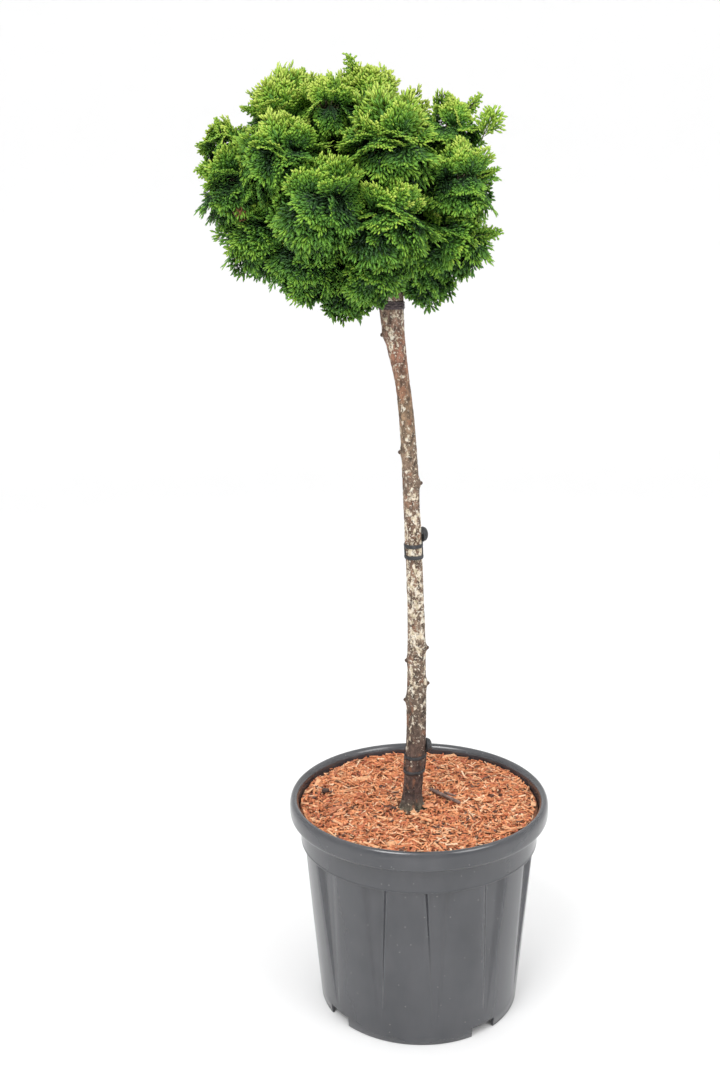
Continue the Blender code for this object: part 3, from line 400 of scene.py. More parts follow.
def limb_material():
    """Brown bark of the boughs."""
    stops = ((0.30, (0.045, 0.028, 0.018)), (0.50, (0.110, 0.066, 0.036)), (0.70, (0.190, 0.125, 0.070)))
    return grained_material("limb_bark", (0.16, 0.10, 0.06), 0.85, (180, 5), stops, 0.0008)


def twig_material():
    """Greenish bark of the fine twigs inside the foliage."""
    stops = ((0.35, (0.028, 0.028, 0.012)), (0.65, (0.075, 0.060, 0.026)))
    return grained_material("twig_bark", (0.17, 0.12, 0.05), 0.8, (240, 3), stops, 0.0004)


def rubber_material():
    stops = ((0.35, (0.014, 0.015, 0.017)), (0.68, (0.050, 0.050, 0.053)))
    colour = (0.030, 0.031, 0.034)
    material = grained_material("tie_rubber", colour, 0.5, (160, 5), stops, 0.00015, (700, 3))
    dull = ramp(material, noise_value(material, 160, 5), ((0.3, 0.42), (0.7, 0.66)))
    feed(material, material.node_tree.nodes["Principled BSDF"], "Roughness", dull)
    return material


def tape_material():
    """Old grafting tape: dark purple-brown, creased and weathered."""
    stops = ((0.30, (0.022, 0.014, 0.018)), (0.52, (0.060, 0.040, 0.044)), (0.72, (0.170, 0.130, 0.115)))
    colour = (0.05, 0.035, 0.04)
    return grained_material("graft_tape", colour, 0.6, (240, 6), stops, 0.0006, stretch=(1, 1, 2.5))


def foliage_material(name, colour):
    """Waxy scale leaves in one plain colour, with their fine overlap as relief."""
    material, shader = new_material("foliage_" + name, colour, 0.52, Specular_IOR_Level=0.35)
    add_bump(material, shader, noise_value(material, 1100, 2), 0.0004, 0.7)
    return material


# Meshes from arrays


def mesh_from_arrays(name, points, faces):
    """A mesh whose faces all have the same number of corners."""
    count, corners = faces.shape
    mesh = bpy.data.meshes.new(name)
    mesh.vertices.add(len(points))
    mesh.vertices.foreach_set("co", np.ascontiguousarray(points, dtype=np.float32).ravel())
    mesh.loops.add(count * corners)
    mesh.loops.foreach_set("vertex_index", np.ascontiguousarray(faces, dtype=np.int32).ravel())
    mesh.polygons.add(count)
    mesh.polygons.foreach_set("loop_start", np.arange(0, count * corners, corners, dtype=np.int32))
    mesh.update(calc_edges=True)
    mesh.validate()
    return mesh


def add_piece(name, shape, material, replaced, smooth_angle=180):
    """A shown piece of the plant: it rides with the whole, stands for CAD nodes and takes its material."""
    mesh = mesh_from_arrays(name, *shape)
    mesh.materials.append(material)
    mesh.shade_smooth()
    if smooth_angle < 180:
        mesh.set_sharp_from_angle(angle=math.radians(smooth_angle))
    obj = bpy.data.objects.new(name, mesh)
    bpy.context.scene.collection.objects.link(obj)
    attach(obj, "root")
    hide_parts(*replaced)


def joined(parts):
    """One pair of arrays from several (points, faces) pairs."""
    starts = np.cumsum([0] + [len(points) for points, _ in parts])
    faces = [part_faces + start for (_, part_faces), start in zip(parts, starts)]
    return np.concatenate([points for points, _ in parts]), np.concatenate(faces)


def ring_faces(rings, columns):
    """Triangles between successive closed rings of points, facing out when the rings run upwards."""
    column = np.arange(columns)
    after = (column + 1) % columns
    start = (np.arange(rings - 1) * columns)[:, None]
    low, low_after = start + column, start + after
    high, high_after = low + columns, low_after + columns
    first = np.stack((low, low_after, high_after), -1)
    second = np.stack((low, high_after, high), -1)
    return np.concatenate((first, second), 1).reshape(-1, 3)


def looped_faces(rings, columns):
    """Triangles between rings of points whose last ring meets the first."""
    return ring_faces(rings + 1, columns) % (rings * columns)


def capped(rings, columns, faces=None):
    """Points and triangles of a stack of rings, closed with a middle point at each end."""
    points = np.array(rings).reshape(-1, 3)
    count, column = len(points), np.arange(columns)
    after = (column + 1) % columns
    if faces is None:
        faces = ring_faces(count // columns, columns)
    low = np.stack((np.full(columns, count), after, column), -1)
    high = np.stack((np.full(columns, count + 1), column + count - columns, after + count - columns), -1)
    ends = points[:columns].mean(0), points[-columns:].mean(0)
    return np.concatenate((points, ends)), np.concatenate((faces, low, high))


def tube(path, radii, sides, relief=None):
    """A closed round tube along a path of points. relief(point) gives the skin's height at a point."""
    path = [Vector(point) for point in path]
    rings, side = [], None
    for index, (point, radius) in enumerate(zip(path, radii)):
        along = (path[min(index + 1, len(path) - 1)] - path[max(index - 1, 0)]).normalized()
        if side is None:
            side = Vector((0, 0, 1) if abs(along.z) < 0.9 else (1, 0, 0)).cross(along)
        side = (side - along * side.dot(along)).normalized()
        over = along.cross(side)
        for turn in turns_round(sides):
            out = math.cos(turn) * side + math.sin(turn) * over
            rings.append(point + out * (radius + (relief(point + out * radius) if relief else 0)))
    return capped(rings, sides)


def turns_round(count):
    """Angles evenly round a full turn."""
    return [2 * math.pi * step / count for step in range(count)]


def circle(radius, columns):
    """Points evenly round the pot's axis."""
    return [(radius * math.cos(turn), radius * math.sin(turn)) for turn in turns_round(columns)]


# Pot and what fills it


def wall_radius(height):
    return mix(POT_FOOT_RADIUS, POT_WALL_TOP_RADIUS, height / POT_WALL_TOP)


def flute_at(height):
    """A flute's half widths at its edges and its bed in degrees, and the share of its depth, at a height."""
    if height < FLUTE_FOOT:
        share = max((height - FLOOR_UNDERSIDE) / (FLUTE_FOOT - FLOOR_UNDERSIDE), 0.0)
        return mix(NOTCH_EDGE, FLUTE_EDGE_FOOT, share), mix(NOTCH_BED, FLUTE_BED_FOOT, share), 0.0
    rise = min((height - FLUTE_FOOT) / (POT_WALL_TOP - FLUTE_FOOT), 1.0)
    return mix(FLUTE_EDGE_FOOT, FLUTE_EDGE_TOP, rise), mix(FLUTE_BED_FOOT, FLUTE_BED_TOP, rise), rise


def pot_ring(radius, height, fluted):
    """Points round the pot's axis. The columns follow the flutes' slanting edges up the wall."""
    edge, bed, rise = flute_at(height)
    pitch = 360 / SECTORS
    spans = ((-edge, -bed, SLOPE_COLUMNS), (-bed, bed, BED_COLUMNS), (bed, edge, SLOPE_COLUMNS),
             (edge, pitch - edge, PLAIN_COLUMNS))
    offsets = np.concatenate([np.linspace(*span, endpoint=False) for span in spans])
    inset = fluted * FLUTE_DEPTH * rise * smooth_step(0, 1, (edge - np.abs(offsets)) / (edge - bed))
    starts = FIRST_FLUTE_ANGLE - 90 + pitch * np.arange(SECTORS)
    angles = np.radians(starts[:, None] + offsets).ravel()
    reach = radius - np.tile(inset, SECTORS)
    return np.stack((reach * np.cos(angles), reach * np.sin(angles), np.full(len(angles), height)), -1)


def rounded(corners):
    """A line of (radius, height, fluted) corners with each inner corner cut back twice over."""
    line = [np.array(corner, float) for corner in corners]
    for _ in range(2):
        cut = [line[0]]
        for before, after in zip(line, line[1:]):
            if (before[:2] == after[:2]).all():
                continue
            share = min(0.25, 0.0009 / np.linalg.norm((after - before)[:2]))
            cut += [before + share * (after - before), after + share * (before - after)]
        line = cut + [line[-1]]
    return line


def inner_collar_radius(height):
    share = (height - POT_WALL_TOP) / (COLLAR_TOP - POT_WALL_TOP)
    return mix(COLLAR_RADIUS, COLLAR_TOP_RADIUS, share) - POT_WALL


def rim_roll():
    """The rim's rounded top, from its outer side over the crest to its inner side."""
    for step in range(13):
        angle = math.pi * step / 12
        out = RIM_RADIUS - RIM_CREST_RADIUS if step < 6 else RIM_CREST_RADIUS - RIM_INNER_RADIUS
        height = RIM_ROLL_CENTRE + (POT_HEIGHT - RIM_ROLL_CENTRE) * math.sin(angle)
        yield RIM_CREST_RADIUS + out * math.cos(angle), height, 0


def pot_profile():
    """The pot's section from the foot's outer corner up over the rim and down to the floor inside."""
    shelf, floor = POT_WALL_TOP + POT_WALL, FLOOR_UNDERSIDE + POT_WALL
    heights = [FLOOR_UNDERSIDE, (FLOOR_UNDERSIDE + FLUTE_FOOT) / 2]
    heights += [mix(FLUTE_FOOT, POT_WALL_TOP - 0.0012, row / WALL_ROWS) for row in range(WALL_ROWS + 1)]
    wall = [(wall_radius(height), height, 1) for height in heights]
    middle = mix(COLLAR_RADIUS, COLLAR_TOP_RADIUS, 0.5), mix(POT_WALL_TOP, COLLAR_TOP, 0.5), 0
    collar = [
        (POT_WALL_TOP_RADIUS - 0.0001, POT_WALL_TOP - 0.0002, 1),
        *((COLLAR_RADIUS + out, POT_WALL_TOP + up, 0) for out, up in COLLAR_LIP),
        middle,
        (COLLAR_TOP_RADIUS, COLLAR_TOP - 0.0004, 0),
        *((RIM_RADIUS + out, COLLAR_TOP + up, 0) for out, up in RIM_UNDERSIDE),
    ]
    inside = [
        (inner_collar_radius(COLLAR_TOP), COLLAR_TOP, 0),
        (inner_collar_radius(shelf), shelf, 0),
        (wall_radius(shelf) - POT_WALL, shelf - 0.0004, 1),
        (wall_radius(floor) - POT_WALL, floor, 1),
    ]
    return wall + rounded([wall[-1], *collar]) + list(rim_roll()) + inside


def build_pot():
    under = [(BOSS_RADIUS, 0.0, 0), (BOSS_RADIUS + FOOT_CHAMFER, FLOOR_UNDERSIDE, 0)]
    skirt = [
        (POT_FOOT_RADIUS - POT_WALL, FLOOR_UNDERSIDE, 0), (POT_FOOT_RADIUS - POT_WALL, 0.0, 0),
        (POT_FOOT_RADIUS - FOOT_CHAMFER, 0.0, 0), (POT_FOOT_RADIUS, FOOT_CHAMFER, 0),
    ]
    profile = under + skirt + pot_profile()
    # Under every third flute a drain notch is cut in the skirt, between two sides and under a flat lintel.
    notch = 2 * SLOPE_COLUMNS + BED_COLUMNS
    sector_columns = notch + PLAIN_COLUMNS
    columns = SECTORS * sector_columns
    faces = ring_faces(len(profile), columns)
    first, last = len(under), len(under) + len(skirt)
    row, column = faces[:, 0] // columns, faces[:, 0] % columns
    open_sector = column // sector_columns % NOTCH_EVERY == 0
    keep = ~((row >= first) & (row < last) & open_sector & (column % sector_columns < notch))
    sides = []
    for left in range(0, columns, NOTCH_EVERY * sector_columns):
        right = left + notch
        for at, flip in ((left, 1), (right, -1)):
            line = [row_index * columns + at for row_index in range(first, last + 1)]
            sides += [(line[0], before, after)[::flip] for before, after in zip(line[1:], line[2:])]
        for at in range(left, right):
            inner, outer = first * columns + at, last * columns + at
            sides += [(inner, outer + 1, inner + 1), (inner, outer, outer + 1)]
    faces = np.concatenate((faces[keep], np.array(sides)))
    shape = capped([pot_ring(*corner) for corner in profile], columns, faces)
    add_piece("pot_shell", shape, plastic_material(), ["pot"], 50)


def mulch_height(x, y):
    """The mulch's even surface: a low mound between the rim and the trunk."""
    share = np.hypot(x, y) / MULCH_RADIUS
    swell = noise.noise(Vector((x * 28, y * 28, 3.0))) * 0.0012
    gap = (np.hypot(x - TRUNK_STATIONS[0][1], y - TRUNK_DEPTH) - MULCH_GAP_REACH) / MULCH_GAP_SPREAD
    mound = mix(MULCH_TOP, MULCH_EDGE_TOP, share ** 3) + swell * (1 - share ** 4)
    return mound - MULCH_GAP_DEPTH * np.exp(-gap * gap)


def build_mulch_bed():
    """The dark bed of fines under the chips."""
    rings, columns = 46, 150
    points = [(x, y, MULCH_BED_FOOT) for x, y in circle(MULCH_RADIUS - 0.0015, columns)]
    for step in range(rings):
        for x, y in circle(MULCH_RADIUS * (1 - (step / rings) ** 1.1), columns):
            crumb = noise.fractal(Vector((x * 420, y * 420, 1.0)), 0.9, 2.0, 3) * 0.0007
            points.append((x, y, mulch_height(x, y) - MULCH_BED_SINK + crumb))
    bed = wood_material("mulch_fines", (0.250, 0.098, 0.048))
    add_piece("mulch_bed", capped(points, columns), bed, ["bark_mulch"])


# Chips: name, colour, share of all, and length, width and thickness.
CHIPS = (
    ("rust", (0.600, 0.205, 0.085), 0.29, (0.0062, 0.0013, 0.0006)),
    ("orange", (0.740, 0.300, 0.130), 0.28, (0.0076, 0.0013, 0.0006)),
    ("red", (0.460, 0.130, 0.060), 0.15, (0.0056, 0.0016, 0.0007)),
    ("tan", (0.800, 0.440, 0.240), 0.16, (0.0086, 0.0013, 0.0005)),
    ("pale", (0.880, 0.600, 0.390), 0.050, (0.0076, 0.0014, 0.0006)),
    ("dark", (0.105, 0.052, 0.036), 0.045, (0.0045, 0.0019, 0.0008)),
    ("slab", (0.780, 0.420, 0.220), 0.012, (0.0140, 0.0032, 0.0008)),
    ("shard", (0.480, 0.170, 0.080), 0.010, (0.0130, 0.0030, 0.0009)),
)
CHIP_CORNERS = np.array([(-1, -1, -1), (-1, 1, -1), (-1, 1, 1), (-1, -1, 1),
                         (1, -1, -1), (1, 1, -1), (1, 1, 1), (1, -1, 1)]) * 0.5
CHIP_FACES = np.array([(0, 2, 1), (0, 3, 2), (4, 5, 6), (4, 6, 7), (0, 1, 5), (0, 5, 4),
                       (1, 2, 6), (1, 6, 5), (2, 3, 7), (2, 7, 6), (3, 0, 4), (3, 4, 7)])


def build_chips():
    rng = np.random.default_rng(23)
    for name, colour, share, size in CHIPS:
        count = int(CHIP_COUNT * share)
        radius = (MULCH_RADIUS - 0.002) * np.sqrt(rng.random(count))
        turn = 2 * math.pi * rng.random(count)
        x, y = radius * np.cos(turn), radius * np.sin(turn)
        clear = np.hypot(x - TRUNK_STATIONS[0][1], y - TRUNK_DEPTH) > CHIP_CLEARANCE
        x, y = x[clear], y[clear]
        count = len(x)
        z = np.array([mulch_height(*place) for place in zip(x, y)]) + CHIP_LIFT * rng.random(count) ** 1.6
        length = np.minimum(size[0] * (0.45 + rng.gamma(2.2, 0.33, count)), LONGEST_CHIP)
        width = size[1] * rng.uniform(0.5, 1.5, count)
        thickness = size[2] * rng.uniform(0.6, 1.5, count)
        points = CHIP_CORNERS * np.stack((length, width, thickness), -1)[:, None, :]
        # Torn ends: each corner is moved a little.
        points += rng.normal(0, 0.16, points.shape) * np.stack((width, width, thickness), -1)[:, None, :]
        pitch, roll = rng.normal(0, 0.20, count), rng.normal(0, 0.5, count)
        yaw = 2 * math.pi * rng.random(count)
        # Chips too long for their place near the rim lie along it.
        bearing, room = np.arctan2(y, x), np.maximum(MULCH_RADIUS - 0.001 - np.hypot(x, y), 0.0005)
        too_long = np.abs(np.cos(yaw - bearing)) * length / 2 > room
        yaw = np.where(too_long, bearing + math.pi / 2, yaw)
        for axis, angles in enumerate((roll, pitch, yaw)):
            points = rotate_about(points, axis, angles)
        points += np.stack((x, y, z), -1)[:, None, :]
        faces = CHIP_FACES[None] + 8 * np.arange(count)[:, None, None]
        shape = points.reshape(-1, 3), faces.reshape(-1, 3)
        add_piece("chips_" + name, shape, wood_material("chips_" + name, colour), ["bark_mulch"], 30)


# Loose bits on the mulch: colour, thickness in widths, and each bit's two ends from above and half width.
LOOSE_BITS = {
    "grey_twig": ((0.190, 0.125, 0.105), 0.9, (
        ((0.0137, 0.0172), (0.0479, -0.0192), 0.0026), ((0.0300, 0.0120), (0.0440, 0.0020), 0.0015))),
    "flat_chip": ((0.640, 0.270, 0.130), 0.24, (
        ((0.0050, -0.0270), (0.0170, -0.0210), 0.0042), ((-0.0960, -0.0480), (-0.0830, -0.0420), 0.0035))),
    "dark_lump": ((0.060, 0.035, 0.028), 0.9, (
        ((-0.1140, 0.0110), (-0.1060, 0.0140), 0.0034), ((-0.0300, -0.0300), (-0.0255, -0.0335), 0.0020))),
}


def build_loose_bits():
    """A dead twig, some wide flat chips and dark lumps of bark lying on the mulch."""
    for name, (colour, thick, bits) in LOOSE_BITS.items():
        parts = []
        for first, last, radius in bits:
            ends = Vector((*first, 0)), Vector((*last, 0))
            path = [ends[0].lerp(ends[1], share) for share in (0.0, 0.04, 0.3, 0.6, 0.96, 1.0)]
            radii = [radius * share for share in (0.45, 0.8, 1.0, 0.95, 0.8, 0.4)]
            points, faces = tube(path, radii, 10, lambda point: 0.22 * radius * noise.noise(point * 500))
            ground = max(mulch_height(point.x, point.y) for point in path)
            points[:, 2] = points[:, 2] * thick + ground + radius * thick * 0.7 + BIT_LIFT
            parts.append((points, faces))
        material = wood_material("mulch_" + name, colour)
        add_piece("mulch_" + name, joined(parts), material, ["bark_mulch"], 50)


def rotate_about(points, axis, angles):
    """Turns each row of points about an axis (0 to 2) through the origin by its own angle."""
    first, second = (axis + 1) % 3, (axis + 2) % 3
    cosine, sine = np.cos(angles)[:, None], np.sin(angles)[:, None]
    turned_points = points.copy()
    turned_points[..., first] = points[..., first] * cosine - points[..., second] * sine
    turned_points[..., second] = points[..., first] * sine + points[..., second] * cosine
    return turned_points


# Trunk and ties


def trunk_at(height):
    """Centre and radius of the trunk at a height, by a smooth curve through its stations."""
    stations = np.array(TRUNK_STATIONS)
    height = max(height, stations[0, 0])
    index = int(np.clip(np.searchsorted(stations[:, 0], height) - 1, 0, len(stations) - 2))
    low, high = stations[index:index + 2]
    before, after = stations[max(index - 1, 0)], stations[min(index + 2, len(stations) - 1)]
    span = high[0] - low[0]
    share = (height - low[0]) / span
    slope_low = (high - before) / (high[0] - before[0]) * span
    slope_high = (after - low) / (after[0] - low[0]) * span
    cubic = 2 * (low - high) + slope_low + slope_high
    square = 3 * (high - low) - 2 * slope_low - slope_high
    _, aside, radius = low + share * (slope_low + share * (square + share * cubic))
    return Vector((aside, TRUNK_DEPTH, height)), float(radius)


def angle_between(first, second):
    return (first - second + 180) % 360 - 180


def trunk_skin(height, turns, proud=0.0):
    """Points of the trunk's even skin at a height and at angles from the front, or that far outside it."""
    centre, radius = trunk_at(height)
    reach = radius * (1 + TRUNK_LUMPS * np.sin(np.radians(2 * turns) + TRUNK_TWIST * height))
    for knot_height, knot_turn, bulge in KNOTS:
        along = (height - knot_height) / KNOT_SPREAD
        round_it = np.radians(angle_between(turns, knot_turn)) * radius / KNOT_SPREAD
        reach = reach + bulge * np.exp(-along * along - round_it * round_it)
    above_foot = max((height - TRUNK_STATIONS[0][0]) / ROOT_FLARE_HEIGHT, -0.2)
    for flare_turn in ROOT_FLARE_ANGLES:
        lobe = angle_between(turns, flare_turn) / ROOT_FLARE_SPREAD
        reach = reach + ROOT_FLARE_REACH * np.exp(-above_foot * ROOT_FLARE_FALL - lobe * lobe)
    angles, reach = np.radians(turns - 90), reach + proud
    level = height + 0 * reach
    return np.stack((centre.x + reach * np.cos(angles), centre.y + reach * np.sin(angles), level), -1)


def bark_relief(point, height):
    """How far the bark stands out of the even skin: long ridges, scales and small pits."""
    ridges = noise.fractal(Vector((point[0] * 190, point[1] * 190, height * 26)), 0.8, 2.1, 4)
    scales = noise.noise(Vector((point[0] * 420, point[1] * 420, height * 330)))
    creases = max(0.0, noise.noise(Vector((point[0] * 60 + 9, point[1] * 60, height * 380))) - 0.25)
    return 0.00042 * ridges + 0.00026 * scales - 0.0009 * creases


def build_trunk():
    """Bark up the whole trunk, closed by a rounded head."""
    turns = np.arange(TRUNK_COLUMNS) * 360 / TRUNK_COLUMNS
    rings = []
    for height in np.linspace(TRUNK_STATIONS[0][0] - TRUNK_SINK, HEAD_CENTRE.z, TRUNK_RINGS):
        ring = trunk_skin(height, turns)
        out = ring - (*trunk_at(height)[0].xy, height)
        relief = np.array([bark_relief(point, height) for point in ring])[:, None]
        rings.append(ring + out / np.linalg.norm(out, axis=1, keepdims=True) * relief)
    head, shoulder = np.array(HEAD_CENTRE), rings[-1]
    for angle in np.radians(range(12, 85, 12)):
        rings.append(head + (shoulder - head) * math.cos(angle) + (0, 0, HEAD_RADIUS * math.sin(angle)))
    add_piece("trunk_bark", capped(rings, TRUNK_COLUMNS), bark_material(), ["trunk"])


def build_knots():
    """Dark stubs of shed twigs in the middle of the healed knots."""
    parts = []
    for height, turn, bulge in KNOTS:
        root = Vector(trunk_skin(height, turn, -0.5 * bulge))
        tip = Vector(trunk_skin(height + 0.4 * bulge, turn, KNOT_STUB))
        path = [root.lerp(tip, share) for share in (0.0, 0.5, 0.8, 1.0)]
        radii = [KNOT_STUB_RADIUS * share for share in (1.35, 1.1, 0.85, 0.5)]
        parts.append(tube(path, radii, 10, lambda point: 0.0004 * noise.noise(point * 900)))
    material = wood_material("knot_wood", (0.085, 0.055, 0.040))
    add_piece("knot_stubs", joined(parts), material, ["trunk"], 60)


def hoop(level, columns=80, sides=10):
    """A closed rubber loop round the trunk near a height, sagging to one side."""
    points = []
    for turn in np.arange(columns) * 360 / columns:
        middle = level + TIE_SAG * math.cos(math.radians(turn - TIE_SAG_TURN))
        for angle in turns_round(sides):
            proud = GAP + TIE_THICKNESS * (0.5 - 0.5 * math.cos(angle))
            points.append(trunk_skin(middle + TIE_HEIGHT / 2 * math.sin(angle), turn, proud))
    return np.array(points), looped_faces(columns, sides)


def strap(lower, upper, turn, width):
    """A flat strap along the trunk between two heights, with its half width in degrees."""
    section = ((-1, 0.0), (1, 0.0), (0.9, 0.85), (0.3, 1.0), (-0.3, 1.0), (-0.9, 0.85))
    points = []
    for height in np.linspace(lower, upper, 9):
        for offset, out in section:
            points.append(trunk_skin(height, turn + offset * width, 2 * GAP + out * STRAP_THICKNESS))
    return capped(points, len(section))


def turned(profile, centre, axis, sides):
    """A closed turned solid: profile is (distance along the axis, radius) from one end to the other."""
    side = axis.cross(Vector((0, 0, 1))).normalized()
    over = axis.cross(side)
    rings = []
    for along, radius in profile:
        for turn in turns_round(sides):
            rings.append(centre + axis * along + radius * (math.cos(turn) * side + math.sin(turn) * over))
    return capped(rings, sides)


def button_profile():
    """A dome with a lip round its flat back."""
    edge = 0.0019
    lip = ((0.0, 0.90), (0.0, 0.98), (0.0005, 1.0), (0.0014, 1.0), (0.0018, 0.97), (edge, 0.93))
    profile = [(along, BUTTON_RADIUS * share) for along, share in lip]
    for angle in np.radians([6 + 10 * step for step in range(1, 9)]):
        rise = (BUTTON_DEPTH - edge) * math.sin(angle)
        profile.append((edge + rise, BUTTON_RADIUS * 0.93 * math.cos(angle)))
    return profile


def build_ties():
    """Two rubber loops joined by straps at the sides, with a domed button above them at the right rear."""
    rubber = rubber_material()
    for name, upper, lower, button_turn in TIES:
        angle = math.radians(button_turn - 90)
        out = Vector((math.cos(angle), math.sin(angle), 0))
        centre, radius = trunk_at(upper + BUTTON_RISE)
        back = centre + out * (radius * (1 + TRUNK_LUMPS) + BUTTON_STAND)
        parts = [hoop(level) for level in (upper, lower)]
        parts += [strap(lower, upper, turn, STRAP_WIDTH) for turn in (button_turn, button_turn + 180)]
        parts.append(strap(upper, upper + BUTTON_RISE, button_turn, BUTTON_STRAP_WIDTH))
        parts.append(turned(button_profile(), back, out, 44))
        add_piece(name + "_rubber", joined(parts), rubber, [name], 60)


def build_graft_band():
    """Tape wound round the graft, creased and lapped."""
    columns, rows = 120, 34
    turns = np.arange(columns) * 360 / columns
    rings = []
    for share in np.linspace(0, 1, rows):
        lap = 0.0005 * ((share * GRAFT_BAND_WINDS + turns / 360) % 1.0)
        proud = 0.0007 + lap - 0.0006 * (abs(share - 0.5) * 2) ** 6
        places = [Vector((math.cos(turn) * 3, math.sin(turn) * 3, share * 9)) for turn in np.radians(turns)]
        crease = np.array([noise.fractal(place, 0.8, 2.0, 3) for place in places])
        height = mix(GRAFT_BAND_LOW, GRAFT_BAND_HIGH, share)
        rings.append(trunk_skin(height, turns, proud + 0.00035 * crease))
    rings += [trunk_skin(height, turns, GAP) for height in (GRAFT_BAND_HIGH, GRAFT_BAND_LOW)]
    shape = np.concatenate(rings), looped_faces(len(rings), columns)
    add_piece("graft_tape", shape, tape_material(), ["graft_band"], 70)


# Limbs, by the solids' rule


def bezier(start, leaving, arriving, end, share):
    first = start.lerp(leaving, share).lerp(leaving.lerp(arriving, share), share)
    second = leaving.lerp(arriving, share).lerp(arriving.lerp(end, share), share)
    return first.lerp(second, share)


def mass_centre(name):
    return Vector(MASSES[name][0])


def power_planes(name):
    """The flat sides of a mass's cell: unit normals, and distances from the mass's centre."""
    centre, reach = mass_centre(name), MASSES[name][1]
    others = [(mass_centre(other), MASSES[other][1]) for other in MASSES if other != name]
    normals, distances = [], []
    for point, radius in others + list(HOLLOW):
        away = point - centre
        normals.append(away.normalized())
        distances.append((away.length_squared + reach ** 2 - radius ** 2) / (2 * away.length))
    return np.array(normals), np.array(distances)


def room_along(planes, direction):
    """How far the centre of a mass can move along a direction before it leaves the cell."""
    slopes = planes[0] @ np.array(direction)
    ahead = slopes > 1e-6
    return float((planes[1][ahead] / slopes[ahead]).min())


def side_start(on_parent, along, parent_radius, out, radius):
    cosine = abs(out.dot(along))
    sine = math.sqrt(1 - cosine ** 2)
    return on_parent + out * ((parent_radius + GAP + radius * cosine) / sine)


def junction(name):
    """Where a mass's stem starts, and the way it goes on: from its bough's tip, or from the trunk's side."""
    centre, (parent, place) = mass_centre(name), MASSES[name][2:]
    if parent == "trunk":
        on_trunk, radius = trunk_at(place)
        out = (centre - on_trunk).normalized()
        return side_start(on_trunk, Vector((0, 0, 1)), radius * (1 + TRUNK_LUMPS), out, STEM_RADIUS), out
    source = min(HOLLOW, key=lambda ball: (ball[0] - centre).length_squared - ball[1] ** 2)[0]
    inward = (source - centre).normalized()
    return centre + inward * (room_along(power_planes(name), inward) + BOUGH_RETREAT), -inward


def bough_curves():
    """For each bough: its path and radii, and the point on its parent that it grows from."""
    curves = {}
    for name, (_, _, parent, place) in MASSES.items():
        if parent == "trunk":
            continue
        end, heading = junction(name)
        if parent == "head":
            turn, tilt = (math.radians(angle) for angle in MAIN_BOUGHS[name])
            out = Vector((math.cos(turn) * math.sin(tilt), math.sin(turn) * math.sin(tilt), math.cos(tilt)))
            start = HEAD_CENTRE + out * (HEAD_RADIUS * (1 + TRUNK_LUMPS) + HEAD_CLEARANCE)
            root, thick = HEAD_CENTRE + out * HEAD_RADIUS * 0.6, (MAIN_BASE_RADIUS, MAIN_TIP_RADIUS)
        else:
            path, radii, _ = curves[parent]
            share = coarse_share(place)
            index = min(int(share * (len(path) - 1)), len(path) - 2)
            on_parent = path[index].lerp(path[index + 1], share * (len(path) - 1) - index)
            along = (path[index + 1] - path[index]).normalized()
            out = (end - on_parent).normalized()
            start = side_start(on_parent, along, radii[index] + SIDE_CLEARANCE, out, SIDE_BASE_RADIUS)
            root, thick = on_parent, (SIDE_BASE_RADIUS, SIDE_TIP_RADIUS)
        reach = (end - start).length * BOUGH_BEND
        leaving, arriving = start + out * reach, end - heading * reach
        shares = [step / (BOUGH_RINGS - 1) for step in range(BOUGH_RINGS)]
        path = [bezier(start, leaving, arriving, end, share) for share in shares]
        radii = [mix(*thick, share) for share in shares]
        curves[name] = (path, radii, root)
    return curves


def coarse_share(place):
    """A place along the solids' four rings, as a share of the smooth curve through them."""
    last = 3
    step = min(int(place * last), last - 1)
    low, high = (step / last) ** 1.7, ((step + 1) / last) ** 1.7
    return mix(low, high, place * last - step)


def bough_relief(point):
    return 0.00016 * noise.fractal(point * 330, 0.8, 2.0, 3)


def build_boughs(curves):
    """Boughs with their bark, each rooted in its parent and carried on as the stem of its mass."""
    parts = []
    for name, (_, _, parent, place) in MASSES.items():
        centre = mass_centre(name)
        if parent == "trunk":
            on_trunk = trunk_at(place)[0]
            path = [on_trunk.lerp(centre, step / 10) for step in range(11)]
            radii = [mix(STEM_RADIUS, STEM_TIP_RADIUS, step / 10) for step in range(11)]
        else:
            curve, thick, root = curves[name]
            shares = [step / 6 for step in range(1, 7)]
            path = [root, *curve, *(curve[-1].lerp(centre, share) for share in shares)]
            stem = [mix(thick[-1], STEM_TIP_RADIUS, share) for share in shares]
            radii = [thick[0] * 1.25, *thick, *stem]
        parts.append(tube(path, radii, BOUGH_SIDES, bough_relief))
    nodes = ["bough_" + name for name, mass in MASSES.items() if mass[2] != "trunk"]
    add_piece("boughs", joined(parts), limb_material(), nodes)


# Foliage

# One shoot: a flat keeled finger with a blunt end. Its corners, from base to tip, are shares along, half
# widths sideways and thicknesses up.
SHOOT_CORNERS = np.array([(0, 0, 0), (0.76, -1, 0), (0.76, 1, 0), (0.76, 0, 1), (1, 0, 0.3)])
SHOOT_FACES = np.array([(0, 1, 2), (1, 4, 2), (0, 2, 3), (0, 3, 1), (2, 4, 3), (1, 3, 4)])


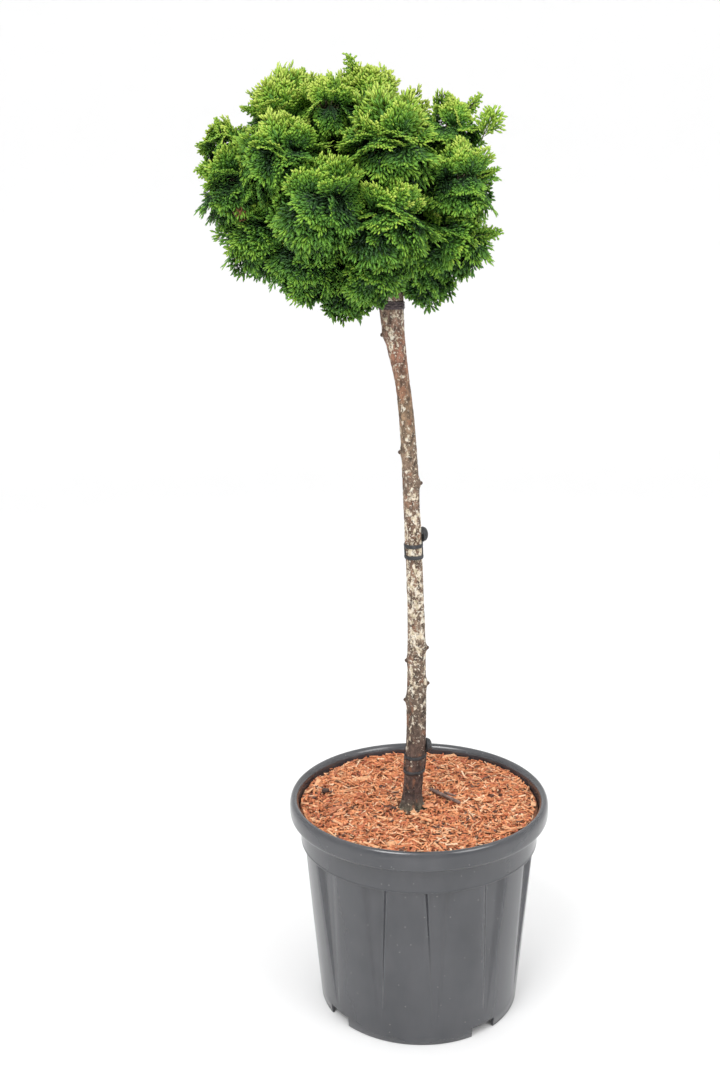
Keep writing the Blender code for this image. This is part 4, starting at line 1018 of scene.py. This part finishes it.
def frond_template(rng):
    """The shoots of one flat frond, in its lengths: x, y, turn, length, width, rank towards the rim, tilt."""
    shoots = [(0.0, 0.0, 0.0, 0.72, 2.0, 0.1, 0.0), (0.0, 0.5, 0.0, 0.46, 1.0, 0.6, 0.0)]
    side = rng.choice((-1, 1))
    for step in range(LATERALS):
        place = (step + 0.5) / LATERALS
        start, side = mix(0.16, 0.84, place), -side
        turn = side * math.radians(mix(50, 28, place) + rng.uniform(-6, 6))
        length = mix(0.44, 0.16, place) * min(1.0, 0.62 + 2.2 * place) * rng.uniform(0.85, 1.1)
        shoots.append((0.0, start, turn, length * 0.9, 1.2, 0.20 + 0.4 * start, rng.uniform(-0.05, 0.05)))
        count = max(round(length / SHOOT_SPACING), 1)
        for index in range(count):
            along = mix(0.38, 0.90, (index + rng.uniform(0.2, 0.8)) / count) * length
            x, y = along * math.sin(turn), start + along * math.cos(turn)
            aside = turn + (1 if index % 2 else -1) * math.radians(rng.uniform(20, 38))
            size, width = SHOOT_SHARE * rng.uniform(0.8, 1.2), rng.uniform(0.9, 1.2)
            shoots.append((x, y, aside, size, width, rim_rank(x, y), rng.uniform(-0.25, 0.3)))
        x, y = length * 0.85 * math.sin(turn), start + length * 0.85 * math.cos(turn)
        size = SHOOT_SHARE * rng.uniform(0.85, 1.1)
        shoots.append((x, y, turn * 0.85, size, 1.1, rim_rank(x, y) + 0.1, rng.uniform(-0.1, 0.2)))
    for turn in (-0.42, 0.0, 0.42):
        size = SHOOT_SHARE * rng.uniform(0.8, 1.1)
        shoots.append((0.0, 0.84, turn + rng.uniform(-0.1, 0.1), size, 1.1, 1.05, rng.uniform(-0.1, 0.2)))
    return np.array(shoots)


def rim_rank(x, y):
    """How near a place on a frond is to its rim, from 0 at the root to about 1."""
    return math.hypot(1.25 * x, y)


def leader_template(rng, leaves_from):
    """The shoots of a long plume: short side shoots all the way from where its leaves begin."""
    shoots = [(0.0, 0.0, 0.0, 0.6, 0.6, 0.2, 0.0), (0.0, 0.55, 0.0, 0.40, 0.7, 0.8, 0.0)]
    side = 1
    for step in range(PLUME_STEPS):
        place = (step + 0.5) / PLUME_STEPS
        start, side = mix(leaves_from, 0.93, place), -side
        turn = side * math.radians(mix(52, 26, place) + rng.uniform(-7, 7))
        length = 0.20 * (1 - place) ** 0.7 * min(1.0, 0.5 + 3 * place) + 0.04
        shoots.append((0.0, start, turn, length + 0.04, 0.9, 0.6, rng.uniform(-0.1, 0.1)))
        count = max(int(length / PLUME_SHOOT_SPACING), 1)
        for index in range(count):
            along = length * mix(0.35, 0.95, (index + 0.5) / count)
            x, y = along * math.sin(turn), start + along * math.cos(turn)
            aside = turn + (1 if index % 2 else -1) * math.radians(rng.uniform(22, 42))
            size = PLUME_SHOOT_SHARE * rng.uniform(0.8, 1.2)
            shoots.append((x, y, aside, size, 1.0, 0.9, rng.uniform(-0.3, 0.3)))
    return np.array(shoots)


def place_shoots(template, root, along, top, length, cup, droop):
    """The corners of a spray's shoots in space. top is the side its keels face, square to along."""
    across = np.cross(along, top)
    x, y, turn, size, width, _, tilt = (template[:, column][:, None] for column in range(7))
    forward, sideways, up = (SHOOT_CORNERS[None, :, column] for column in range(3))
    half = SHOOT_WIDTH / length * width
    ahead = forward * size
    flat_x = x + ahead * np.sin(turn) + sideways * half * np.cos(turn)
    flat_y = y + ahead * np.cos(turn) - sideways * half * np.sin(turn)
    lift = up * SHOOT_THICKNESS / length + tilt * ahead - cup * flat_x ** 2 - droop * flat_y ** 2
    flat = np.stack((flat_x, flat_y, lift), -1) * length
    return root + flat @ np.stack((across, along, top))


def sphere_directions(count):
    """Directions spread evenly over a ball."""
    for index in range(count):
        height = 1 - 2 * (index + 0.5) / count
        turn = index * math.pi * (3 - math.sqrt(5))
        level = math.sqrt(1 - height * height)
        yield Vector((level * math.cos(turn), level * math.sin(turn), height))


def limb_segments(curves):
    """All stretches of trunk and boughs near the crown, as arrays of start, stretch and radius."""
    head = [trunk_at(0.76 + 0.01 * step) for step in range(8)]
    paths = [tuple(zip(*head))] + [(path[::3], thick[::3]) for path, thick, _ in curves.values()]
    starts = np.array([point for path, _ in paths for point in path[:-1]])
    ends = np.array([point for path, _ in paths for point in path[1:]])
    return starts, ends - starts, np.array([radius for _, thick in paths for radius in thick[:-1]])


def clear_of_limbs(points, segments):
    """Which points lie outside the bark of every limb."""
    starts, stretches, radii = segments
    away = points[:, None, :] - starts
    share = (away * stretches).sum(-1) / (stretches ** 2).sum(-1)
    nearest = away - np.clip(share, 0, 1)[..., None] * stretches
    return (np.linalg.norm(nearest, axis=-1) > radii + LIMB_RELIEF).all(1)


def in_cell(planes, centre, points, relief):
    """Which points lie in a mass's cell or at most the relief outside it."""
    return ((points - centre) @ planes[0].T <= planes[1] + relief).all(-1)


class Foliage:
    """Shoots sorted by their plain colour, and the twigs that carry them."""

    def __init__(self, segments):
        self.segments = segments
        self.shoots = [[] for _ in FOLIAGE_COLOURS]
        self.twigs = []
        self.low, self.high = np.array(cad_box)

    def add(self, template, corners, planes, centre, hidden, shade, rng):
        """Keeps the shoots that show, stay in their cell and clear the limbs, and sorts them by colour."""
        base, tip = corners[:, 0], corners[:, 4]
        keep = in_cell(planes, centre, base, CELL_RELIEF) & in_cell(planes, centre, tip, CELL_RELIEF)
        keep &= ((tip >= self.low) & (tip <= self.high)).all(1)
        keep &= np.linalg.norm(tip - centre, axis=1) > hidden
        keep[keep] = clear_of_limbs(tip[keep], self.segments) & clear_of_limbs(base[keep], self.segments)
        rank = template[:, 5]
        # Shoots nearer a frond's rim are paler: partly the real paler new growth at the tips, partly painted
        # shade on the inner shoots.
        shades = shade + 0.66 * (rank - 0.68) + rng.normal(0, 0.035, len(template))
        dead = len(self.shoots) - 1
        kinds = np.clip((shades * dead).astype(int), 0, dead - 1)
        kinds[np.linalg.norm(tip - DEAD_SPOT, axis=1) < DEAD_REACH] = dead
        for kind, groups in enumerate(self.shoots):
            groups.append(corners[keep & (kinds == kind)])

    def build(self):
        nodes = ["foliage_" + name for name in MASSES]
        for (name, colour), groups in zip(FOLIAGE_COLOURS, self.shoots):
            corners, material = np.concatenate(groups), foliage_material(name, colour)
            pieces = -(-len(corners) // MOST_SHOOTS_A_PIECE)
            for index, part in enumerate(np.array_split(corners, pieces), 1):
                faces = SHOOT_FACES[None] + 5 * np.arange(len(part))[:, None, None]
                shape = part.reshape(-1, 3), faces.reshape(-1, 3)
                add_piece(f"sprays_{name}_{index}", shape, material, nodes)
        add_piece("twigs", joined(self.twigs), twig_material(), nodes)


def upright_tangent(direction):
    """The way up along a ball's surface at a direction, or any level way at its poles."""
    up = Vector((0, 0, 1)) - direction * direction.z
    return up.normalized() if up.length > 0.15 else Vector((0.3, -1, 0)).normalized()


def grow_mass(name, foliage, templates, rng):
    centre, reach = np.array(MASSES[name][0]), MASSES[name][1]
    planes, stem_from = power_planes(name), np.array(junction(name)[0])
    for direction in sphere_directions(int(SHELLS_PER_MASS * (reach / MEAN_REACH) ** 2)):
        direction = (direction + Vector(rng.normal(0, 0.12, 3))).normalized()
        shell = shell_frame(direction, centre, reach, planes, rng)
        if shell is not None:
            grow_shell(foliage, shell, planes, centre, HIDDEN_SHARE * reach, templates, rng)
            grow_twig(foliage, stem_from, centre, shell[0], rng)


def shell_frame(direction, centre, reach, planes, rng):
    """A shell's root, length, axes and shade, or None where it would leave the cell.

    Shells lie over each other like scales: they rise on top of the crown and hang on its flanks and below.
    """
    crown_share = (centre[2] - 0.83) / 0.18
    rise = 1.5 * (direction.z - 0.46) + 0.5 * (crown_share - 0.5) + rng.normal(0, 0.12)
    rise = min(max(rise, -0.9), 0.9)
    if abs(rise) < LEAST_RISE:
        rise = math.copysign(LEAST_RISE, rng.random() - 0.5)
    tangent = np.array(Matrix.Rotation(rng.normal(0, 0.4), 3, direction) @ upright_tangent(direction))
    outward, size = np.array(direction), reach * rng.uniform(0.86, 1.05)
    root = centre + reach * (SHELL_ROOT[0] * outward + SHELL_ROOT[1] * rise * tangent)
    full = centre + size * (SHELL_TIP[0] * outward + SHELL_TIP[1] * rise * tangent)
    for shrink in SPRAY_SHRINKS:
        tip = root + (full - root) * shrink
        if in_cell(planes, centre, np.array([root, tip]), 0.8 * CELL_RELIEF).all():
            break
    else:
        return None
    length = float(np.linalg.norm(tip - root))
    along = (tip - root) / length
    across = Vector(np.cross(along, outward)).normalized()
    across = np.array(Matrix.Rotation(rng.normal(0, 0.25), 3, Vector(along)) @ across)
    top = np.cross(across, along)
    if top @ outward < 0:
        across, top = -across, -top
    # Painted light: shells that face up, rise, or sit high in the crown get paler colours, as if lit from
    # above.
    shade = 0.475 + 0.12 * direction.z + 0.32 * max(crown_share - 0.6, 0.0) + 0.08 * rise
    return root, length, along, across, top, shade + rng.normal(0, 0.06)


def grow_shell(foliage, shell, planes, centre, hidden, templates, rng):
    """A cupped sheet of fronds that spread from one root."""
    root, length, along, across, top, shade = shell
    cup = rng.uniform(0.3, 1.0)
    for degrees, share in FRONDS:
        turn = math.radians(degrees + rng.normal(0, 3))
        axis = math.cos(turn) * along + math.sin(turn) * across - cup * (1 - math.cos(turn)) * top
        axis /= np.linalg.norm(axis)
        over = square_to(axis, top + 0.8 * cup * math.sin(turn) * across)
        template = templates[rng.integers(len(templates))]
        if rng.random() < 0.5:
            template = template * np.array((-1, 1, -1, 1, 1, 1, 1))
        size = length * share * rng.uniform(0.93, 1.06)
        bowl, droop = rng.uniform(0.1, 0.5), rng.uniform(-0.15, 0.20)
        corners = place_shoots(template, root, axis, over, size, bowl, droop)
        foliage.add(template, corners, planes, centre, hidden, shade + rng.normal(0, 0.03), rng)


def square_to(axis, vector):
    """The part of a vector square to a unit axis, as a unit vector."""
    part = vector - axis * vector.dot(axis)
    return part / np.linalg.norm(part)


def grow_twig(foliage, stem_from, centre, root, rng):
    """A thin twig from the mass's stem to the root of a spray."""
    start = centre + (stem_from - centre) * rng.uniform(0.0, 0.4)
    bend = (start + root) / 2 + rng.normal(0, 0.0015, 3)
    path = [start, bend, root, root + (root - bend) * 0.3]
    foliage.twigs.append(tube(path, (0.0010, 0.0008, 0.0006, 0.0004), TWIG_SIDES))


def grow_leader(foliage, name, tip, leaves_from, rng):
    """A plume from inside a mass to a tip of the crown's outline: three blades about one axis."""
    centre, reach = np.array(MASSES[name][0]), MASSES[name][1]
    along = (tip - centre) / np.linalg.norm(tip - centre)
    root = centre + along * reach * 0.30
    length = float(np.linalg.norm(tip - root))
    # A plume may pass its neighbours' cells: it stands free of them.
    normals, distances = power_planes(name)
    planes = normals, distances + PLUME_FREEDOM
    # Painted light: plumes that point up are paler.
    shade = 0.56 + 0.10 * along[2]
    for degrees, share in ((0, 1.0), (60, 0.93), (120, 0.88)):
        rolled = Matrix.Rotation(math.radians(degrees), 3, Vector(along)) @ Vector((0.0, -1.0, 0.2))
        top = square_to(along, np.array(rolled))
        template = leader_template(rng, leaves_from)
        corners = place_shoots(template, root, along, top, length * share, 0.4, 0.0)
        foliage.add(template, corners, planes, centre, 0, shade + rng.normal(0, 0.03), rng)
    path = [centre, root, root + along * length * 0.5, root + along * length * 0.8]
    foliage.twigs.append(tube(path, (0.0012, 0.0010, 0.0007, 0.0004), TWIG_SIDES + 2))


def build_foliage(curves):
    foliage = Foliage(limb_segments(curves))
    rng = np.random.default_rng(5)
    templates = [frond_template(rng) for _ in range(TEMPLATES)]
    for name in MASSES:
        grow_mass(name, foliage, templates, rng)
    for name, tip, leaves_from in LEADERS:
        grow_leader(foliage, name, tip, leaves_from, rng)
    foliage.build()


# Setting


def build_setting():
    """A pale floor that curves up into a backdrop all round, under soft light from all sides."""
    profile = [(radius, 0.0) for radius in FLOOR_RADII]
    for step in range(1, 13):
        angle = math.radians(90 * step / 12)
        height = FLOOR_CURVE * (1 - math.cos(angle))
        profile.append((FLOOR_RADII[-1] + FLOOR_CURVE * math.sin(angle), height))
    profile.append((FLOOR_RADII[-1] + FLOOR_CURVE, BACKDROP_HEIGHT))
    columns = 96
    points = [(x, y, height) for radius, height in profile for x, y in circle(max(radius, 0.001), columns)]
    faces = ring_faces(len(profile), columns)[:, ::-1]
    mesh = mesh_from_arrays("floor", np.array(points), faces)
    mesh.materials.append(new_material("floor_white", (0.90, 0.90, 0.90), 0.85)[0])
    mesh.shade_smooth()
    floor = bpy.data.objects.new("floor", mesh)
    bpy.context.scene.collection.objects.link(floor)


def add_area_light(name, place, target, size, power):
    light = bpy.data.lights.new(name, "AREA")
    light.shape = "DISK"
    light.size = size
    light.energy = power
    obj = bpy.data.objects.new(name, light)
    obj.location = place
    obj.rotation_euler = (Vector(target) - Vector(place)).to_track_quat("-Z", "Y").to_euler()
    bpy.context.scene.collection.objects.link(obj)


def build_light():
    world = bpy.data.worlds.new("studio")
    world.use_nodes = True
    background = world.node_tree.nodes["Background"]
    background.inputs["Color"].default_value = (1.0, 1.0, 1.0, 1.0)
    background.inputs["Strength"].default_value = 1.15
    bpy.context.scene.world = world
    add_area_light("key", (-0.9, -1.7, 2.5), (0, 0, 0.7), 1.4, 34)
    add_area_light("fill", (1.5, -1.2, 1.9), (0, 0, 0.5), 1.2, 14)
    bpy.context.scene.view_settings.view_transform = "Standard"


def build_camera():
    camera = bpy.data.cameras.new("camera")
    camera.sensor_fit = "VERTICAL"
    camera.sensor_height = SENSOR_HEIGHT
    camera.lens = SENSOR_HEIGHT * FOCAL_PIXELS / PHOTO_HEIGHT
    camera.clip_start = 0.01
    obj = bpy.data.objects.new("camera", camera)
    pose = Matrix.Translation(CAMERA_PLACE)
    for degrees, axis in ((-CAMERA_YAW, "Z"), (90 - CAMERA_PITCH, "X"), (CAMERA_ROLL, "Z")):
        pose = pose @ Matrix.Rotation(math.radians(degrees), 4, axis)
    obj.matrix_world = pose
    bpy.context.scene.collection.objects.link(obj)
    bpy.context.scene.camera = obj


def main():
    build_camera()
    build_setting()
    build_light()
    build_pot()
    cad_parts["potting_soil"].material_slots[0].material = soil_material()
    build_mulch_bed()
    build_chips()
    build_loose_bits()
    build_trunk()
    build_knots()
    build_ties()
    build_graft_band()
    curves = bough_curves()
    build_boughs(curves)
    build_foliage(curves)


main()
